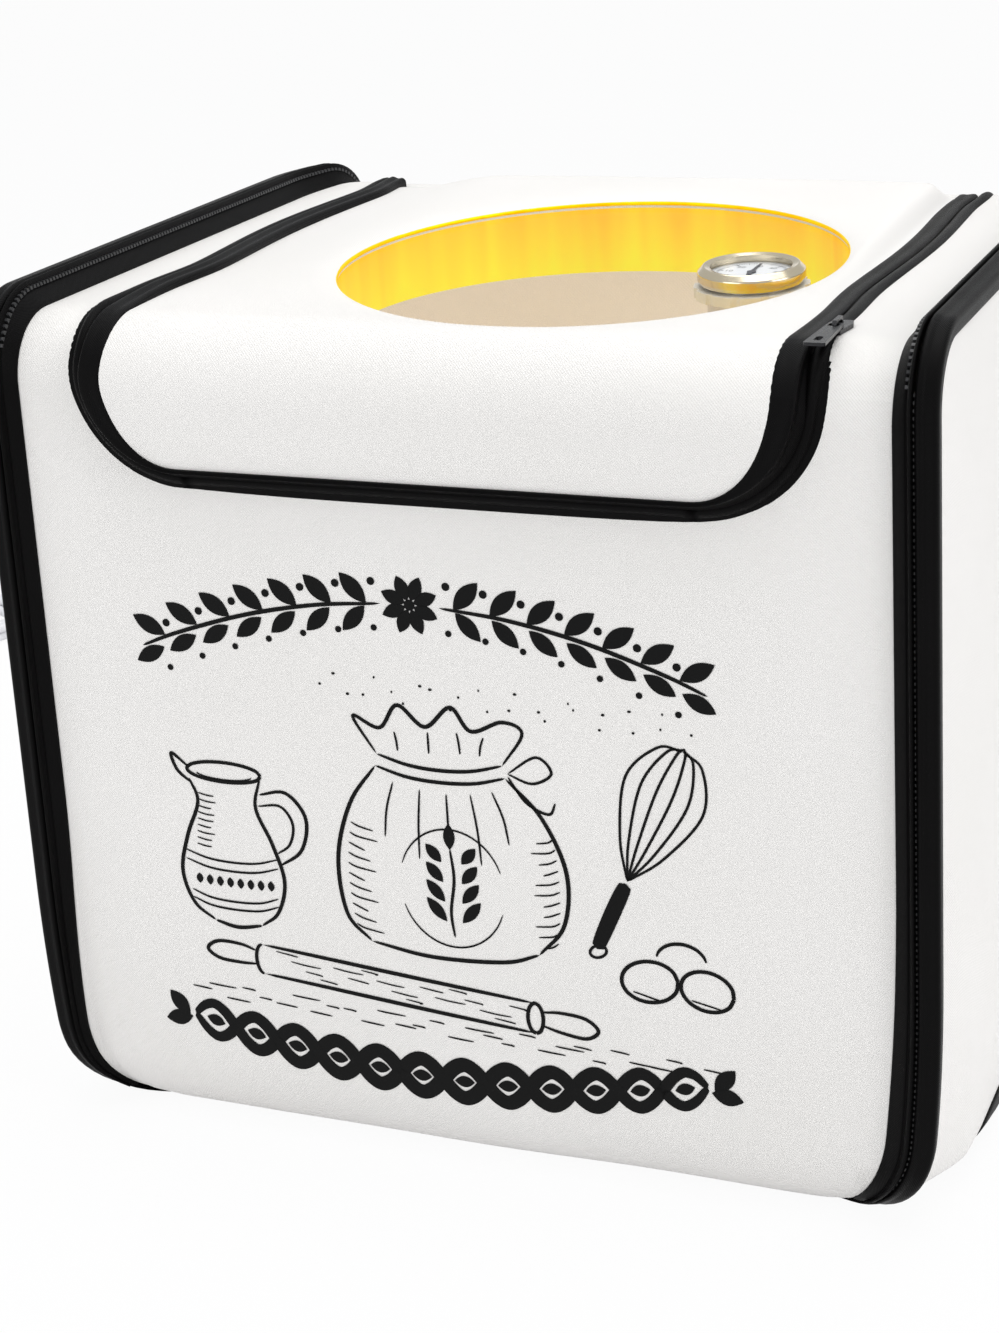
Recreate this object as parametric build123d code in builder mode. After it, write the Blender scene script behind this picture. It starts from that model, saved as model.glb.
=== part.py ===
"""Folding dough proofer: a zip-up insulated fabric box with a round window, a dial
thermometer in its lid, a heating mat on its floor and a mains lead with a controller.

Millimetres, +Z up, front towards -Y. The origin is at the middle of the footprint,
on the surface that the box stands on.
"""

import os
from math import atan, cos, degrees, pi, radians, sin, tan

from build123d import *

os.makedirs("parts", exist_ok=True)

# ---------------------------------------------------------------- driving dimensions
width = 380.0  # over both side panels
depth = 320.0  # over the crests of the side zips
height = 350.0  # to the crests of the side zips

wall = 10.0  # front, back, base and top, through cover, core and lining
skin = 1.5  # cover and lining fabric
ply_gap = 0.2  # between the plies of a wall
side_thickness = 8.0  # each side panel
panel_corner = 30.0  # corner radius of the side panels
sleeve_corner = 26.0  # corner radius of the sleeve that they close
crest_front = 4.0  # side zips above the front and the back
crest_top = 9.0  # side zips above the top
running_gap = 0.3  # between bodies that move past each other
mitre_gap = 0.4  # across a folding corner

fold_in = 16.0  # folding pivots, inwards from the front and back faces
fold_up = 30.0  # folding pivots, from the base and from the top

frame_side = 48.0  # from the outer face of a side panel to the lid zip
lid_hinge_y = 130.0  # rear edge of the lid
lid_hinge_rise = 4.0  # hinge line above the top
lid_thickness = 24.0
apron_proud = 8.6  # padded apron in front of the front wall
apron_drop = 55.0  # apron's lower edge below the top
apron_corner = 40.0
lid_corner = 28.0  # between lid and apron
crown_slope = degrees(atan(0.035))  # padded lid rises towards its rear
crown_margin = 8.5  # flat edge of the lid outside its crown
crown_shoulder = 18.0  # slope at its rear
crown_side = 4.0  # slope at its sides

window_left = 59.5  # from the lid zip to the window
window_right = 18.5
window_front = 1.6  # from the crown's front
film_thickness = 0.8
film_hem = 4.0  # film held under the lid cover
reveal_wall = 2.0  # foil-faced wall of the window's well

gauge_inset = 27.8  # thermometer's axis, from the window's rim
gauge_bearing = -15.3  # degrees, seen from the window's middle
gauge_radius = 21.0
gauge_rise = 7.0
gauge_case_radius = 17.5
gauge_case_depth = 14.0
gauge_flange = 1.4  # cup's rim on the film
cup_wall = 1.2
bezel_lip = 1.6
dial_rise = 3.2  # dial's face above the film
spindle_radius = 0.9
needle_length = 12.5
needle_hub = 1.8
spiral_turns = 4.5
spiral_width = 5.0

tape_width = 8.0  # each half of the lid zip
tape_thickness = 1.2
band_width = 14.0  # each sleeve half of a side zip
band_edge = 0.8  # its thin edge
binding_width = 6.0  # rim of a side panel

slider_length = 16.0
slider_width = 9.0
slider_nose = 5.5
slider_height = 1.6
bridge_height = 2.9
bridge_bar = 1.0
bridge_foot = 1.4
bridge_width = 1.6
bridge_rear = -6.0  # ends of the bridge, from the slider's middle
bridge_front = 4.0
pull_length = 30.0
pull_width = 8.0
pull_thickness = 1.2
pull_eye = 3.8
side_slider_z = 80.0

mat_width = 270.0
mat_depth = 200.0
mat_thickness = 3.0
mat_corner = 12.0
block_length = 36.0  # moulded block that takes the lead
block_width = 26.0

cord_diameter = 6.0
cord_exit_x = 110.0
cord_exit_z = 22.0
relief_length = 30.0

remote_length = 84.0  # controller on the lead
remote_width = 40.0
remote_height = 20.0
remote_wall = 1.8
remote_x = -4.0
remote_y = 264.0
remote_nose = 12.0
remote_corner = 9.0
remote_cord_z = 6.0
nozzle_gap = 0.4  # the lead leaves the controller's nozzles at a slant
display_length = 28.0
display_width = 20.0
display_inset = 24.0  # its middle, from the controller's end
buttons_inset = 18.0
button_diameter = 8.0
button_pitch = 13.0
button_travel = 0.8
button_rise = 1.4

coil_turn_radius = 30.0  # middle of the put-away coil's turns
coil_heading = 148.7  # degrees, of the lead where it meets the coil
coil_meeting = (-547.5, 388.9)
stub_length = 24.0  # straight ends of the coil

plug_width = 26.0
plug_length = 32.0
plug_nose = 14.0
blade_length = 16.0
blade_width = 6.3
blade_thickness = 1.5
blade_pitch = 12.7

# ---------------------------------------------------------------- worked-out sizes
half_width = width / 2
sleeve_half = half_width - side_thickness - running_gap
sleeve_depth = depth - 2 * crest_front
sleeve_height = height - crest_top
front_y = -sleeve_depth / 2
back_y = sleeve_depth / 2
far = 20.0  # past the faces, for cutting shapes

front_foot = (front_y, 0)  # hinge of front wall and base, at the outer corner
back_foot = (back_y - fold_in, fold_up)  # hinge of back wall and base
back_head = (back_y, sleeve_height)  # hinge of back wall and top
front_head = (front_y + fold_in, sleeve_height - fold_up)  # where top and front wall meet

lid_half = half_width - frame_side
lid_edge = lid_half - running_gap
lid_front = front_y - apron_proud
lid_under = sleeve_height - lid_thickness
lid_rear = lid_hinge_y - running_gap
apron_back = front_y + wall + 4
apron_foot = sleeve_height - apron_drop
crown_front = lid_front + lid_corner
crown_rear = lid_rear - crown_shoulder
crown_top = sleeve_height + tan(radians(crown_slope)) * (crown_rear - crown_front)

window_radius = lid_half - (window_left + window_right) / 2
window_x = (window_left - window_right) / 2
window_y = crown_front + window_front + window_radius
gauge_x = (window_radius - gauge_inset) * cos(radians(gauge_bearing))
gauge_y = (window_radius - gauge_inset) * sin(radians(gauge_bearing))
lid_plane = Plane(
    origin=(
        window_x,
        window_y,
        sleeve_height + tan(radians(crown_slope)) * (window_y - crown_front),
    ),
    x_dir=(1, 0, 0),
    z_dir=(0, -sin(radians(crown_slope)), cos(radians(crown_slope))),
)
film_plane = lid_plane.offset(-skin - ply_gap)
gauge_plane = Plane(
    origin=film_plane.from_local_coords(Vector(gauge_x, gauge_y, 0)),
    x_dir=(1, 0, 0),
    z_dir=lid_plane.z_dir,
)


# ---------------------------------------------------------------- shared shapes
def sleeve_outline(inset):
    """Cross-section of the sleeve, inset from its outer face."""
    with BuildSketch(Plane.YZ) as outline:
        with Locations((0, sleeve_height / 2)):
            RectangleRounded(
                sleeve_depth - 2 * inset,
                sleeve_height - 2 * inset,
                sleeve_corner - inset,
            )
    return outline.sketch


def standing_outline(out_front, out_top, corner, plane=Plane.YZ, inset=0.0):
    """Outline that stands on the floor, larger than the sleeve at front, back and top."""
    with BuildSketch(plane) as outline:
        with Locations((0, (sleeve_height + out_top) / 2)):
            RectangleRounded(
                sleeve_depth + 2 * out_front - 2 * inset,
                sleeve_height + out_top - 2 * inset,
                corner - inset,
            )
    return outline.sketch


def sector(*corners):
    """Part of the cross-section that moves as one wall, less half a mitre gap."""
    with BuildSketch(Plane.YZ) as region:
        with BuildLine():
            Polyline(*corners, close=True)
        make_face()
        offset(amount=-mitre_gap / 2, kind=Kind.INTERSECTION)
    return region.sketch


def shifted(point, along, up):
    """A point of the cross-section, moved."""
    return (point[0] + along, point[1] + up)


inner_front = shifted(front_foot, fold_in + far, fold_in + far)
inner_back = shifted(back_head, -fold_in - far, -fold_in - far)
front_split = shifted(front_head, -fold_in - far, fold_in + far)

regions = {
    "base": sector(
        shifted(front_foot, -far, -far),
        inner_front,
        back_foot,
        shifted(back_foot, fold_in + far, 0),
        shifted(back_foot, fold_in + far, -fold_up - far),
    ),
    "front": sector(
        shifted(front_foot, -far, -far),
        inner_front,
        front_head,
        front_split,
        (front_split[0], -far),
    ),
    "top": sector(
        front_split,
        front_head,
        inner_back,
        shifted(back_head, far, far),
        (front_split[0], sleeve_height + far),
    ),
    "back": sector(
        back_foot,
        shifted(back_foot, fold_in + far, 0),
        shifted(back_head, far, far),
        inner_back,
    ),
}


def doorway(grow, past_hinge=0.0):
    """Space of the lid and its apron through the top and the front wall."""
    tall = apron_drop + 2 * apron_corner + 2 * far
    inside_front = front_y + wall + far
    rear = lid_hinge_y + grow + past_hinge
    with BuildPart() as space:
        with BuildSketch(Plane.XZ.offset(-lid_front + far)):
            with Locations((0, apron_foot - grow + tall / 2)):
                RectangleRounded(2 * (lid_half + grow), tall, apron_corner + grow)
        extrude(amount=-(inside_front - lid_front + far))
        with BuildSketch(Plane.XY.offset(lid_under - far)):
            with Locations((0, (inside_front + rear) / 2)):
                Rectangle(2 * (lid_half + grow), rear - inside_front)
        extrude(amount=lid_thickness + 2 * far)
    return space.part


def lid_section(outer, inner, end):
    """Cross-section of lid and apron, with its faces moved inwards."""
    with BuildSketch(Plane.YZ) as section:
        with BuildLine():
            Polyline(
                (lid_rear - end, sleeve_height - outer),
                (lid_front + outer, sleeve_height - outer),
                (lid_front + outer, apron_foot + running_gap + end),
                (apron_back - inner, apron_foot + running_gap + end),
                (apron_back - inner, lid_under + inner),
                (lid_rear - end, lid_under + inner),
                close=True,
            )
        make_face()
        fillet(section.vertices().sort_by(lambda v: v.X - v.Y)[0], lid_corner - outer)
    return section.sketch


def crown(lower):
    """Padded rise of the lid, highest at its rear, with sloping shoulders."""
    side = lid_edge - crown_margin - lower
    with BuildPart() as rise:
        with BuildSketch(Plane.YZ):
            with BuildLine():
                Polyline(
                    (crown_front, sleeve_height - lower),
                    (crown_rear, crown_top - lower),
                    (lid_rear - 2 * skin, sleeve_height - lower),
                    (lid_rear - 2 * skin, sleeve_height - lower - skin),
                    (crown_front, sleeve_height - lower - skin),
                    close=True,
                )
            make_face()
        extrude(amount=side, both=True)
        with BuildSketch(Plane.XZ):
            with BuildLine():
                Polyline(
                    (-side, sleeve_height - lower - skin),
                    (-side, sleeve_height - lower),
                    (-side + crown_side, crown_top - lower),
                    (side - crown_side, crown_top - lower),
                    (side, sleeve_height - lower),
                    (side, sleeve_height - lower - skin),
                    close=True,
                )
            make_face()
        extrude(amount=depth, both=True, mode=Mode.INTERSECT)
    return rise.part


def sleeve_shell(outer, inner, half_length):
    """All four walls' ply between two insets."""
    with BuildPart() as shell:
        extrude(sleeve_outline(outer), amount=half_length, both=True)
        extrude(sleeve_outline(inner), amount=half_length, both=True, mode=Mode.SUBTRACT)
    return shell.part


def cable_bore(radius, length, start):
    """Round hole along Y through the rear upstand of the base."""
    with BuildPart() as bore:
        with BuildSketch(Plane.XZ.offset(-start)):
            with Locations((cord_exit_x, cord_exit_z)):
                Circle(radius)
        extrude(amount=-length)
    return bore.part


# ---------------------------------------------------------------- walls of the sleeve
# Each wall is a fabric cover turned in at its ends, a foam core and a lining.
relief_radius = cord_diameter / 2 + 3.2
collar_radius = relief_radius + 1.3
collar_front = back_y - 2.6

for wall_name, region in regions.items():
    with_door = wall_name in ("front", "top")
    with_cable = wall_name == "base"

    with BuildPart() as pocket:
        add(sleeve_shell(skin, wall, sleeve_half - skin))
        if with_door:
            add(doorway(running_gap + skin), mode=Mode.SUBTRACT)

    with BuildPart() as cover:
        add(sleeve_shell(0, wall, sleeve_half))
        if with_door:
            add(doorway(running_gap), mode=Mode.SUBTRACT)
        add(pocket.part, mode=Mode.SUBTRACT)
        extrude(region, amount=width, both=True, mode=Mode.INTERSECT)
        if with_cable:
            add(
                cable_bore(relief_radius + ply_gap, wall + far, back_y - wall),
                mode=Mode.SUBTRACT,
            )
            add(cable_bore(collar_radius + ply_gap, far, collar_front), mode=Mode.SUBTRACT)
    cover.part.label = f"{wall_name}_cover"
    export_step(cover.part, f"parts/{wall_name}_cover.step")

    with BuildPart() as core:
        add(sleeve_shell(skin + ply_gap, wall - skin - ply_gap, sleeve_half - skin - ply_gap))
        if with_door:
            add(doorway(running_gap + skin + ply_gap), mode=Mode.SUBTRACT)
        extrude(region, amount=width, both=True, mode=Mode.INTERSECT)
        if with_cable:
            add(
                cable_bore(collar_radius + ply_gap, wall + far, back_y - wall),
                mode=Mode.SUBTRACT,
            )
    core.part.label = f"{wall_name}_foam"
    export_step(core.part, f"parts/{wall_name}_foam.step")

    with BuildPart() as lining:
        add(sleeve_shell(wall - skin, wall, sleeve_half - skin - ply_gap))
        if with_door:
            add(doorway(running_gap + skin + ply_gap), mode=Mode.SUBTRACT)
        extrude(region, amount=width, both=True, mode=Mode.INTERSECT)
        if with_cable:
            add(
                cable_bore(relief_radius + ply_gap, wall + far, back_y - 2 * wall),
                mode=Mode.SUBTRACT,
            )
    lining.part.label = f"{wall_name}_lining"
    export_step(lining.part, f"parts/{wall_name}_lining.step")


# ---------------------------------------------------------------- lid and apron
# One padded flap: the lid lies in the top, its apron hangs in the front wall, and
# they bend at the line where the top and the front wall meet.
lid_region = sector(
    front_split,
    front_head,
    (front_head[0], lid_under - far),
    (lid_rear + far, lid_under - far),
    (lid_rear + far, sleeve_height + 2 * far),
    (front_split[0], sleeve_height + 2 * far),
)
apron_region = sector(
    front_split,
    front_head,
    (front_head[0], apron_foot - far),
    (front_split[0], apron_foot - far),
)


def flap_ply(outer, inner, rim):
    """Lid and apron in one piece, inset all round, as far as the zip."""
    with BuildPart() as ply:
        extrude(lid_section(outer, inner, rim), amount=lid_edge - rim, both=True)
        add(crown(outer))
        add(doorway(-running_gap - rim), mode=Mode.INTERSECT)
    return ply.part


def window_bore(radius, start, length):
    """Round hole square to the sloping top of the lid."""
    with BuildPart() as bore:
        with BuildSketch(lid_plane.offset(start)):
            Circle(radius)
        extrude(amount=-length)
    return bore.part


flap_outer = flap_ply(0, 0, 0)
flap_pocket = flap_ply(skin, -far, skin)
flap_core = flap_ply(skin + ply_gap, skin + ply_gap, skin + ply_gap)

with BuildPart() as flap_lining:
    extrude(lid_section(skin, 0, skin + ply_gap), amount=lid_edge - skin - ply_gap, both=True)
    extrude(lid_section(0, skin, 0), amount=lid_edge, both=True, mode=Mode.SUBTRACT)
    add(doorway(-running_gap - skin - ply_gap), mode=Mode.INTERSECT)

for flap_name, region in (("lid", lid_region), ("apron", apron_region)):
    with BuildPart() as cover:
        add(flap_outer)
        add(flap_pocket, mode=Mode.SUBTRACT)
        extrude(region, amount=width, both=True, mode=Mode.INTERSECT)
        if flap_name == "lid":
            add(window_bore(window_radius, far, 2 * far), mode=Mode.SUBTRACT)
    cover.part.label = f"{flap_name}_cover"
    export_step(cover.part, f"parts/{flap_name}_cover.step")

    with BuildPart() as core:
        add(flap_core)
        extrude(region, amount=width, both=True, mode=Mode.INTERSECT)
        if flap_name == "lid":
            well_radius = window_radius + reveal_wall + ply_gap
            add(window_bore(well_radius, far, 3 * far), mode=Mode.SUBTRACT)
            add(
                window_bore(
                    window_radius + film_hem + ply_gap,
                    0,
                    skin + film_thickness + 2 * ply_gap,
                ),
                mode=Mode.SUBTRACT,
            )
    core.part.label = f"{flap_name}_foam"
    export_step(core.part, f"parts/{flap_name}_foam.step")

    with BuildPart() as lining:
        add(flap_lining.part)
        extrude(region, amount=width, both=True, mode=Mode.INTERSECT)
        if flap_name == "lid":
            add(window_bore(well_radius, far, 3 * far), mode=Mode.SUBTRACT)
    lining.part.label = f"{flap_name}_lining"
    export_step(lining.part, f"parts/{flap_name}_lining.step")

# Clear film, held all round under the cover, with a hole for the thermometer.
with BuildPart() as window_film:
    with BuildSketch(film_plane):
        Circle(window_radius + film_hem)
        with Locations((gauge_x, gauge_y)):
            Circle(gauge_case_radius + ply_gap, mode=Mode.SUBTRACT)
    extrude(amount=-film_thickness)
window_film.part.label = "window_film"
export_step(window_film.part, "parts/window_film.step")

# Foil-faced wall of the well under the film, down to the lid's lining.
with BuildPart() as window_reveal:
    with BuildSketch(film_plane.offset(-film_thickness - ply_gap)):
        Circle(window_radius + reveal_wall)
        Circle(window_radius, mode=Mode.SUBTRACT)
    extrude(amount=-2 * lid_thickness)
    with BuildSketch(Plane.XY.offset(lid_under)):
        Rectangle(width, depth)
    extrude(amount=2 * lid_thickness, mode=Mode.INTERSECT)
window_reveal.part.label = "window_reveal"
export_step(window_reveal.part, "parts/window_reveal.step")

# ---------------------------------------------------------------- lid thermometer
# Cup through the film, clamped by a nut, with a bimetal spiral that turns the needle.

def turned(*profile):
    """Solid of revolution about the thermometer's axis, from radius and rise pairs."""
    with BuildPart() as solid:
        with BuildSketch(Plane.XZ):
            with BuildLine():
                Polyline(*profile, close=True)
            make_face()
        revolve(axis=Axis.Z)
    return gauge_plane.from_local_coords(solid.part)


with BuildPart() as gauge_cup:
    add(
        turned(
            (0, -gauge_case_depth),
            (gauge_case_radius - 1, -gauge_case_depth),
            (gauge_case_radius, -gauge_case_depth + 1),
            (gauge_case_radius, running_gap / 3),
            (gauge_radius - 1, running_gap / 3),
            (gauge_radius - 1, gauge_flange),
            (gauge_case_radius, gauge_flange),
            (gauge_case_radius, dial_rise - 1.2),
            (gauge_case_radius - cup_wall, dial_rise - 1.2),
            (gauge_case_radius - cup_wall, -gauge_case_depth + cup_wall),
            (0, -gauge_case_depth + cup_wall),
        )
    )
gauge_cup.part.label = "thermometer_cup"
export_step(gauge_cup.part, "parts/thermometer_cup.step")

with BuildPart() as gauge_bezel:
    with BuildSketch(Plane.XZ) as bezel_profile:
        with BuildLine():
            Polyline(
                (gauge_case_radius + ply_gap, gauge_flange + ply_gap),
                (gauge_radius, gauge_flange + ply_gap),
                (gauge_radius, gauge_rise - 2.4),
                (gauge_radius - 2.4, gauge_rise),
                (gauge_case_radius - bezel_lip, gauge_rise - 0.8),
                (gauge_case_radius - bezel_lip, gauge_rise - 1.8),
                (gauge_case_radius + ply_gap, gauge_rise - 1.8),
                close=True,
            )
        make_face()
        fillet(bezel_profile.vertices().sort_by(lambda v: -v.X - 2 * v.Y)[0:2], 1.0)
    revolve(axis=Axis.Z)
gauge_bezel.part = gauge_plane.from_local_coords(gauge_bezel.part)
gauge_bezel.part.label = "thermometer_bezel"
export_step(gauge_bezel.part, "parts/thermometer_bezel.step")

with BuildPart() as gauge_dial:
    add(
        turned(
            (spindle_radius + ply_gap, dial_rise - 1),
            (gauge_case_radius, dial_rise - 1),
            (gauge_case_radius, dial_rise),
            (spindle_radius + ply_gap, dial_rise),
        )
    )
gauge_dial.part.label = "thermometer_dial"
export_step(gauge_dial.part, "parts/thermometer_dial.step")

with BuildPart() as gauge_lens:
    add(
        turned(
            (0, gauge_rise - 3),
            (gauge_case_radius, gauge_rise - 3),
            (gauge_case_radius, gauge_rise - 2),
            (0, gauge_rise - 1.4),
        )
    )
gauge_lens.part.label = "thermometer_lens"
export_step(gauge_lens.part, "parts/thermometer_lens.step")

with BuildPart() as gauge_needle:
    with BuildSketch(Plane.XY.offset(dial_rise + ply_gap)):
        with BuildLine():
            Polyline(
                (-0.9, -needle_length / 3),
                (0.9, -needle_length / 3),
                (0.25, needle_length),
                (-0.25, needle_length),
                close=True,
            )
        make_face()
        Circle(needle_hub)
    extrude(amount=0.4)
    with BuildSketch(Plane.XY.offset(dial_rise - 5)):
        Circle(spindle_radius)
    extrude(amount=5.3 + ply_gap)
gauge_needle.part = gauge_plane.from_local_coords(gauge_needle.part)
gauge_needle.part.label = "thermometer_needle"
export_step(gauge_needle.part, "parts/thermometer_needle.step")

spiral_start = spindle_radius + 0.9
spiral_pitch = (gauge_case_radius - cup_wall - 1.0 - spiral_start) / spiral_turns


def spiral_point(turn):
    """Archimedean spiral: the radius grows by one pitch in each turn."""
    radius = spiral_start + spiral_pitch * turn
    return (radius * cos(2 * pi * turn), radius * sin(2 * pi * turn))


with BuildPart() as gauge_spiral:
    with BuildSketch(Plane.XY.offset(-spiral_width - 2)):
        with BuildLine():
            Spline(*[spiral_point(step / 8) for step in range(int(spiral_turns * 8) + 1)])
        trace(line_width=0.6)
    extrude(amount=spiral_width)
gauge_spiral.part = gauge_plane.from_local_coords(gauge_spiral.part)
gauge_spiral.part.label = "thermometer_spiral"
export_step(gauge_spiral.part, "parts/thermometer_spiral.step")

nut_radius = gauge_radius + 1.5
with BuildPart() as gauge_nut:
    with BuildSketch(Plane.XY.offset(-film_thickness - running_gap)):
        Circle(nut_radius)
        with PolarLocations(nut_radius + 0.6, 12):
            Circle(2.0, mode=Mode.SUBTRACT)
        Circle(gauge_case_radius + ply_gap, mode=Mode.SUBTRACT)
    extrude(amount=-4)
gauge_nut.part = gauge_plane.from_local_coords(gauge_nut.part)
gauge_nut.part.label = "thermometer_nut"
export_step(gauge_nut.part, "parts/thermometer_nut.step")

# ---------------------------------------------------------------- lid zip
# A tape with half of the zip's teeth on each edge of the door.
def zip_half(outline_out, outline_in, inner_space, outer_space):
    """Tape that lies on a cross-section's outside, between two sizes of the doorway."""
    with BuildPart() as half:
        extrude(outline_out, amount=sleeve_half, both=True)
        extrude(outline_in, amount=sleeve_half, both=True, mode=Mode.SUBTRACT)
        add(outer_space, mode=Mode.INTERSECT)
        add(inner_space, mode=Mode.SUBTRACT)
    return half.part


fixed_tape = zip_half(
    sleeve_outline(-tape_thickness),
    sleeve_outline(0),
    doorway(running_gap, 2 * far),
    doorway(tape_width, 2 * far),
)

for wall_name in ("top", "front"):
    with BuildPart() as tape:
        add(fixed_tape)
        extrude(regions[wall_name], amount=width, both=True, mode=Mode.INTERSECT)
    tape.part.label = f"{wall_name}_zip_tape"
    export_step(tape.part, f"parts/{wall_name}_zip_tape.step")

flap_tape = zip_half(
    lid_section(-tape_thickness, 0, 0),
    lid_section(0, -far, -far),
    doorway(-tape_width, 2 * far),
    doorway(-running_gap),
)
for flap_name, region in (("lid", lid_region), ("apron", apron_region)):
    with BuildPart() as tape:
        add(flap_tape)
        extrude(region, amount=width, both=True, mode=Mode.INTERSECT)
    tape.part.label = f"{flap_name}_zip_tape"
    export_step(tape.part, f"parts/{flap_name}_zip_tape.step")

# ---------------------------------------------------------------- side zips
# The sleeve half of each side zip is a black band that rises to the side panel's edge.
with BuildPart() as side_band:
    add(standing_outline(band_edge, band_edge, sleeve_corner + band_edge,
                         Plane.YZ.offset(sleeve_half - band_width)))
    add(standing_outline(crest_front, crest_top, panel_corner, Plane.YZ.offset(sleeve_half)))
    loft()
    extrude(sleeve_outline(0), amount=width, both=True, mode=Mode.SUBTRACT)

for wall_name in ("front", "top", "back"):
    with BuildPart() as bands:
        add(side_band.part)
        mirror(about=Plane.YZ)
        extrude(regions[wall_name], amount=width, both=True, mode=Mode.INTERSECT)
    bands.part.label = f"{wall_name}_side_bands"
    export_step(bands.part, f"parts/{wall_name}_side_bands.step")

# ---------------------------------------------------------------- side panels
# A bound rim holds the outer cover, the foam core and the lining of each panel.
panel_layers = (
    ("binding", 0, side_thickness, 0, binding_width),
    ("cover", side_thickness - skin, side_thickness, binding_width + ply_gap, None),
    ("foam", skin + ply_gap, side_thickness - skin - ply_gap, binding_width + ply_gap, None),
    ("lining", 0, skin, binding_width + ply_gap, None),
)
for side_name, side in (("left", -1), ("right", 1)):
    for layer_name, near, outer_face, inset, rim in panel_layers:
        inner_x = half_width - side_thickness + near
        with BuildPart() as layer:
            extrude(
                standing_outline(
                    crest_front, crest_top, panel_corner, Plane.YZ.offset(inner_x), inset
                ),
                amount=outer_face - near,
            )
            if rim:
                extrude(
                    standing_outline(
                        crest_front, crest_top, panel_corner, Plane.YZ.offset(inner_x), rim
                    ),
                    amount=outer_face - near,
                    mode=Mode.SUBTRACT,
                )
                outer_edges = layer.faces().sort_by(Axis.X)[-1].outer_wire().edges()
                fillet(outer_edges, 2.0)
        panel = layer.part if side > 0 else layer.part.mirror(Plane.YZ)
        panel.label = f"{side_name}_panel_{layer_name}"
        export_step(panel, f"parts/{side_name}_panel_{layer_name}.step")


# ---------------------------------------------------------------- zip sliders
# A slider runs on the tape, and its pull hangs from the bridge on its back.

def zip_slider():
    """Wedge-shaped slider that runs towards +X, with its bridge on top."""
    with BuildPart() as slider:
        with BuildSketch():
            with BuildLine():
                Polyline(
                    (-slider_length / 2, -slider_nose / 2),
                    (slider_length / 5, -slider_width / 2),
                    (slider_length / 2, -slider_width / 2 + 1),
                    (slider_length / 2, slider_width / 2 - 1),
                    (slider_length / 5, slider_width / 2),
                    (-slider_length / 2, slider_nose / 2),
                    close=True,
                )
            make_face()
        extrude(amount=slider_height)
        with BuildSketch(Plane.XZ):
            with BuildLine():
                Polyline(
                    (bridge_rear, slider_height),
                    (bridge_rear + 0.6, slider_height + bridge_height),
                    (bridge_front - 1.4, slider_height + bridge_height),
                    (bridge_front, slider_height),
                    (bridge_front - bridge_foot, slider_height),
                    (bridge_front - 2.4, slider_height + bridge_height - bridge_bar),
                    (bridge_rear + bridge_foot, slider_height + bridge_height - bridge_bar),
                    (bridge_rear + bridge_foot, slider_height),
                    close=True,
                )
            make_face()
        extrude(amount=bridge_width / 2, both=True)
    return slider.part


def zip_pull():
    """Tab towards -X, hung by the bar of its eye, which is at the origin."""
    half_bar = pull_thickness / 2
    with BuildPart() as pull:
        with BuildSketch(Plane.XY.offset(-half_bar)) as tab:
            with BuildLine():
                Polyline(
                    (half_bar, -pull_width / 2 + 1.2),
                    (half_bar, pull_width / 2 - 1.2),
                    (half_bar - pull_length, pull_width / 2),
                    (half_bar - pull_length, -pull_width / 2),
                    close=True,
                )
            make_face()
            fillet(tab.vertices(), 1.1)
            with Locations((-half_bar - pull_eye / 2, 0)):
                Rectangle(pull_eye, bridge_width + 2.4, mode=Mode.SUBTRACT)
            with Locations((7 - pull_length, 0)):
                SlotOverall(6, 2.6, mode=Mode.SUBTRACT)
        extrude(amount=pull_thickness)
    return pull.part


pull_pivot = (
    bridge_rear + bridge_foot + 0.4 + pull_thickness / 2,
    0,
    slider_height + (bridge_height - bridge_bar) / 2,
)
lid_slider_x = lid_half + running_gap + slider_width / 2
lid_slider_y = front_y + sleeve_corner + slider_length / 2 - 2
side_slider_x = sleeve_half - slider_width / 2 - 1
slider_planes = {
    "lid": Plane(
        origin=(lid_slider_x, lid_slider_y, sleeve_height + tape_thickness + running_gap / 3),
        x_dir=(0, 1, 0),
        z_dir=(0, 0, 1),
    ),
    "left": Plane(
        origin=(-side_slider_x, depth / 2 + running_gap / 3, side_slider_z),
        x_dir=(0, 0, 1),
        z_dir=(0, 1, 0),
    ),
    "right": Plane(
        origin=(side_slider_x, depth / 2 + running_gap / 3, side_slider_z),
        x_dir=(0, 0, 1),
        z_dir=(0, 1, 0),
    ),
}
for zip_name, slider_plane in slider_planes.items():
    slider = slider_plane.from_local_coords(zip_slider())
    slider.label = f"{zip_name}_slider"
    export_step(slider, f"parts/{zip_name}_slider.step")

    pull = slider_plane.from_local_coords(zip_pull().translate(pull_pivot))
    pull.label = f"{zip_name}_slider_pull"
    export_step(pull, f"parts/{zip_name}_slider_pull.step")

# ---------------------------------------------------------------- heating mat
# Foil-faced element on the base lining; its moulded block takes the lead at the rear.
mat_bottom = wall + ply_gap / 2
block_rear = back_y - wall - ply_gap
block_top = cord_exit_z + relief_radius - 1
with BuildPart() as heating_mat:
    with BuildSketch(Plane.XY.offset(mat_bottom)):
        RectangleRounded(mat_width, mat_depth, mat_corner)
        with Locations((cord_exit_x, (block_rear + mat_depth / 2) / 2 - mat_corner)):
            Rectangle(block_width, block_rear - mat_depth / 2 + 2 * mat_corner)
    extrude(amount=mat_thickness)
    with BuildSketch(Plane.XY.offset(mat_bottom)):
        with Locations((cord_exit_x, block_rear - block_length / 2)):
            Rectangle(block_width, block_length)
    extrude(amount=block_top - mat_bottom)
    block_edges = heating_mat.faces().sort_by(Axis.Z)[-1].edges()
    fillet(block_edges.sort_by(Axis.Y)[:-1], 4)
    extrude(sleeve_outline(mat_bottom), amount=width, both=True, mode=Mode.INTERSECT)
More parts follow.
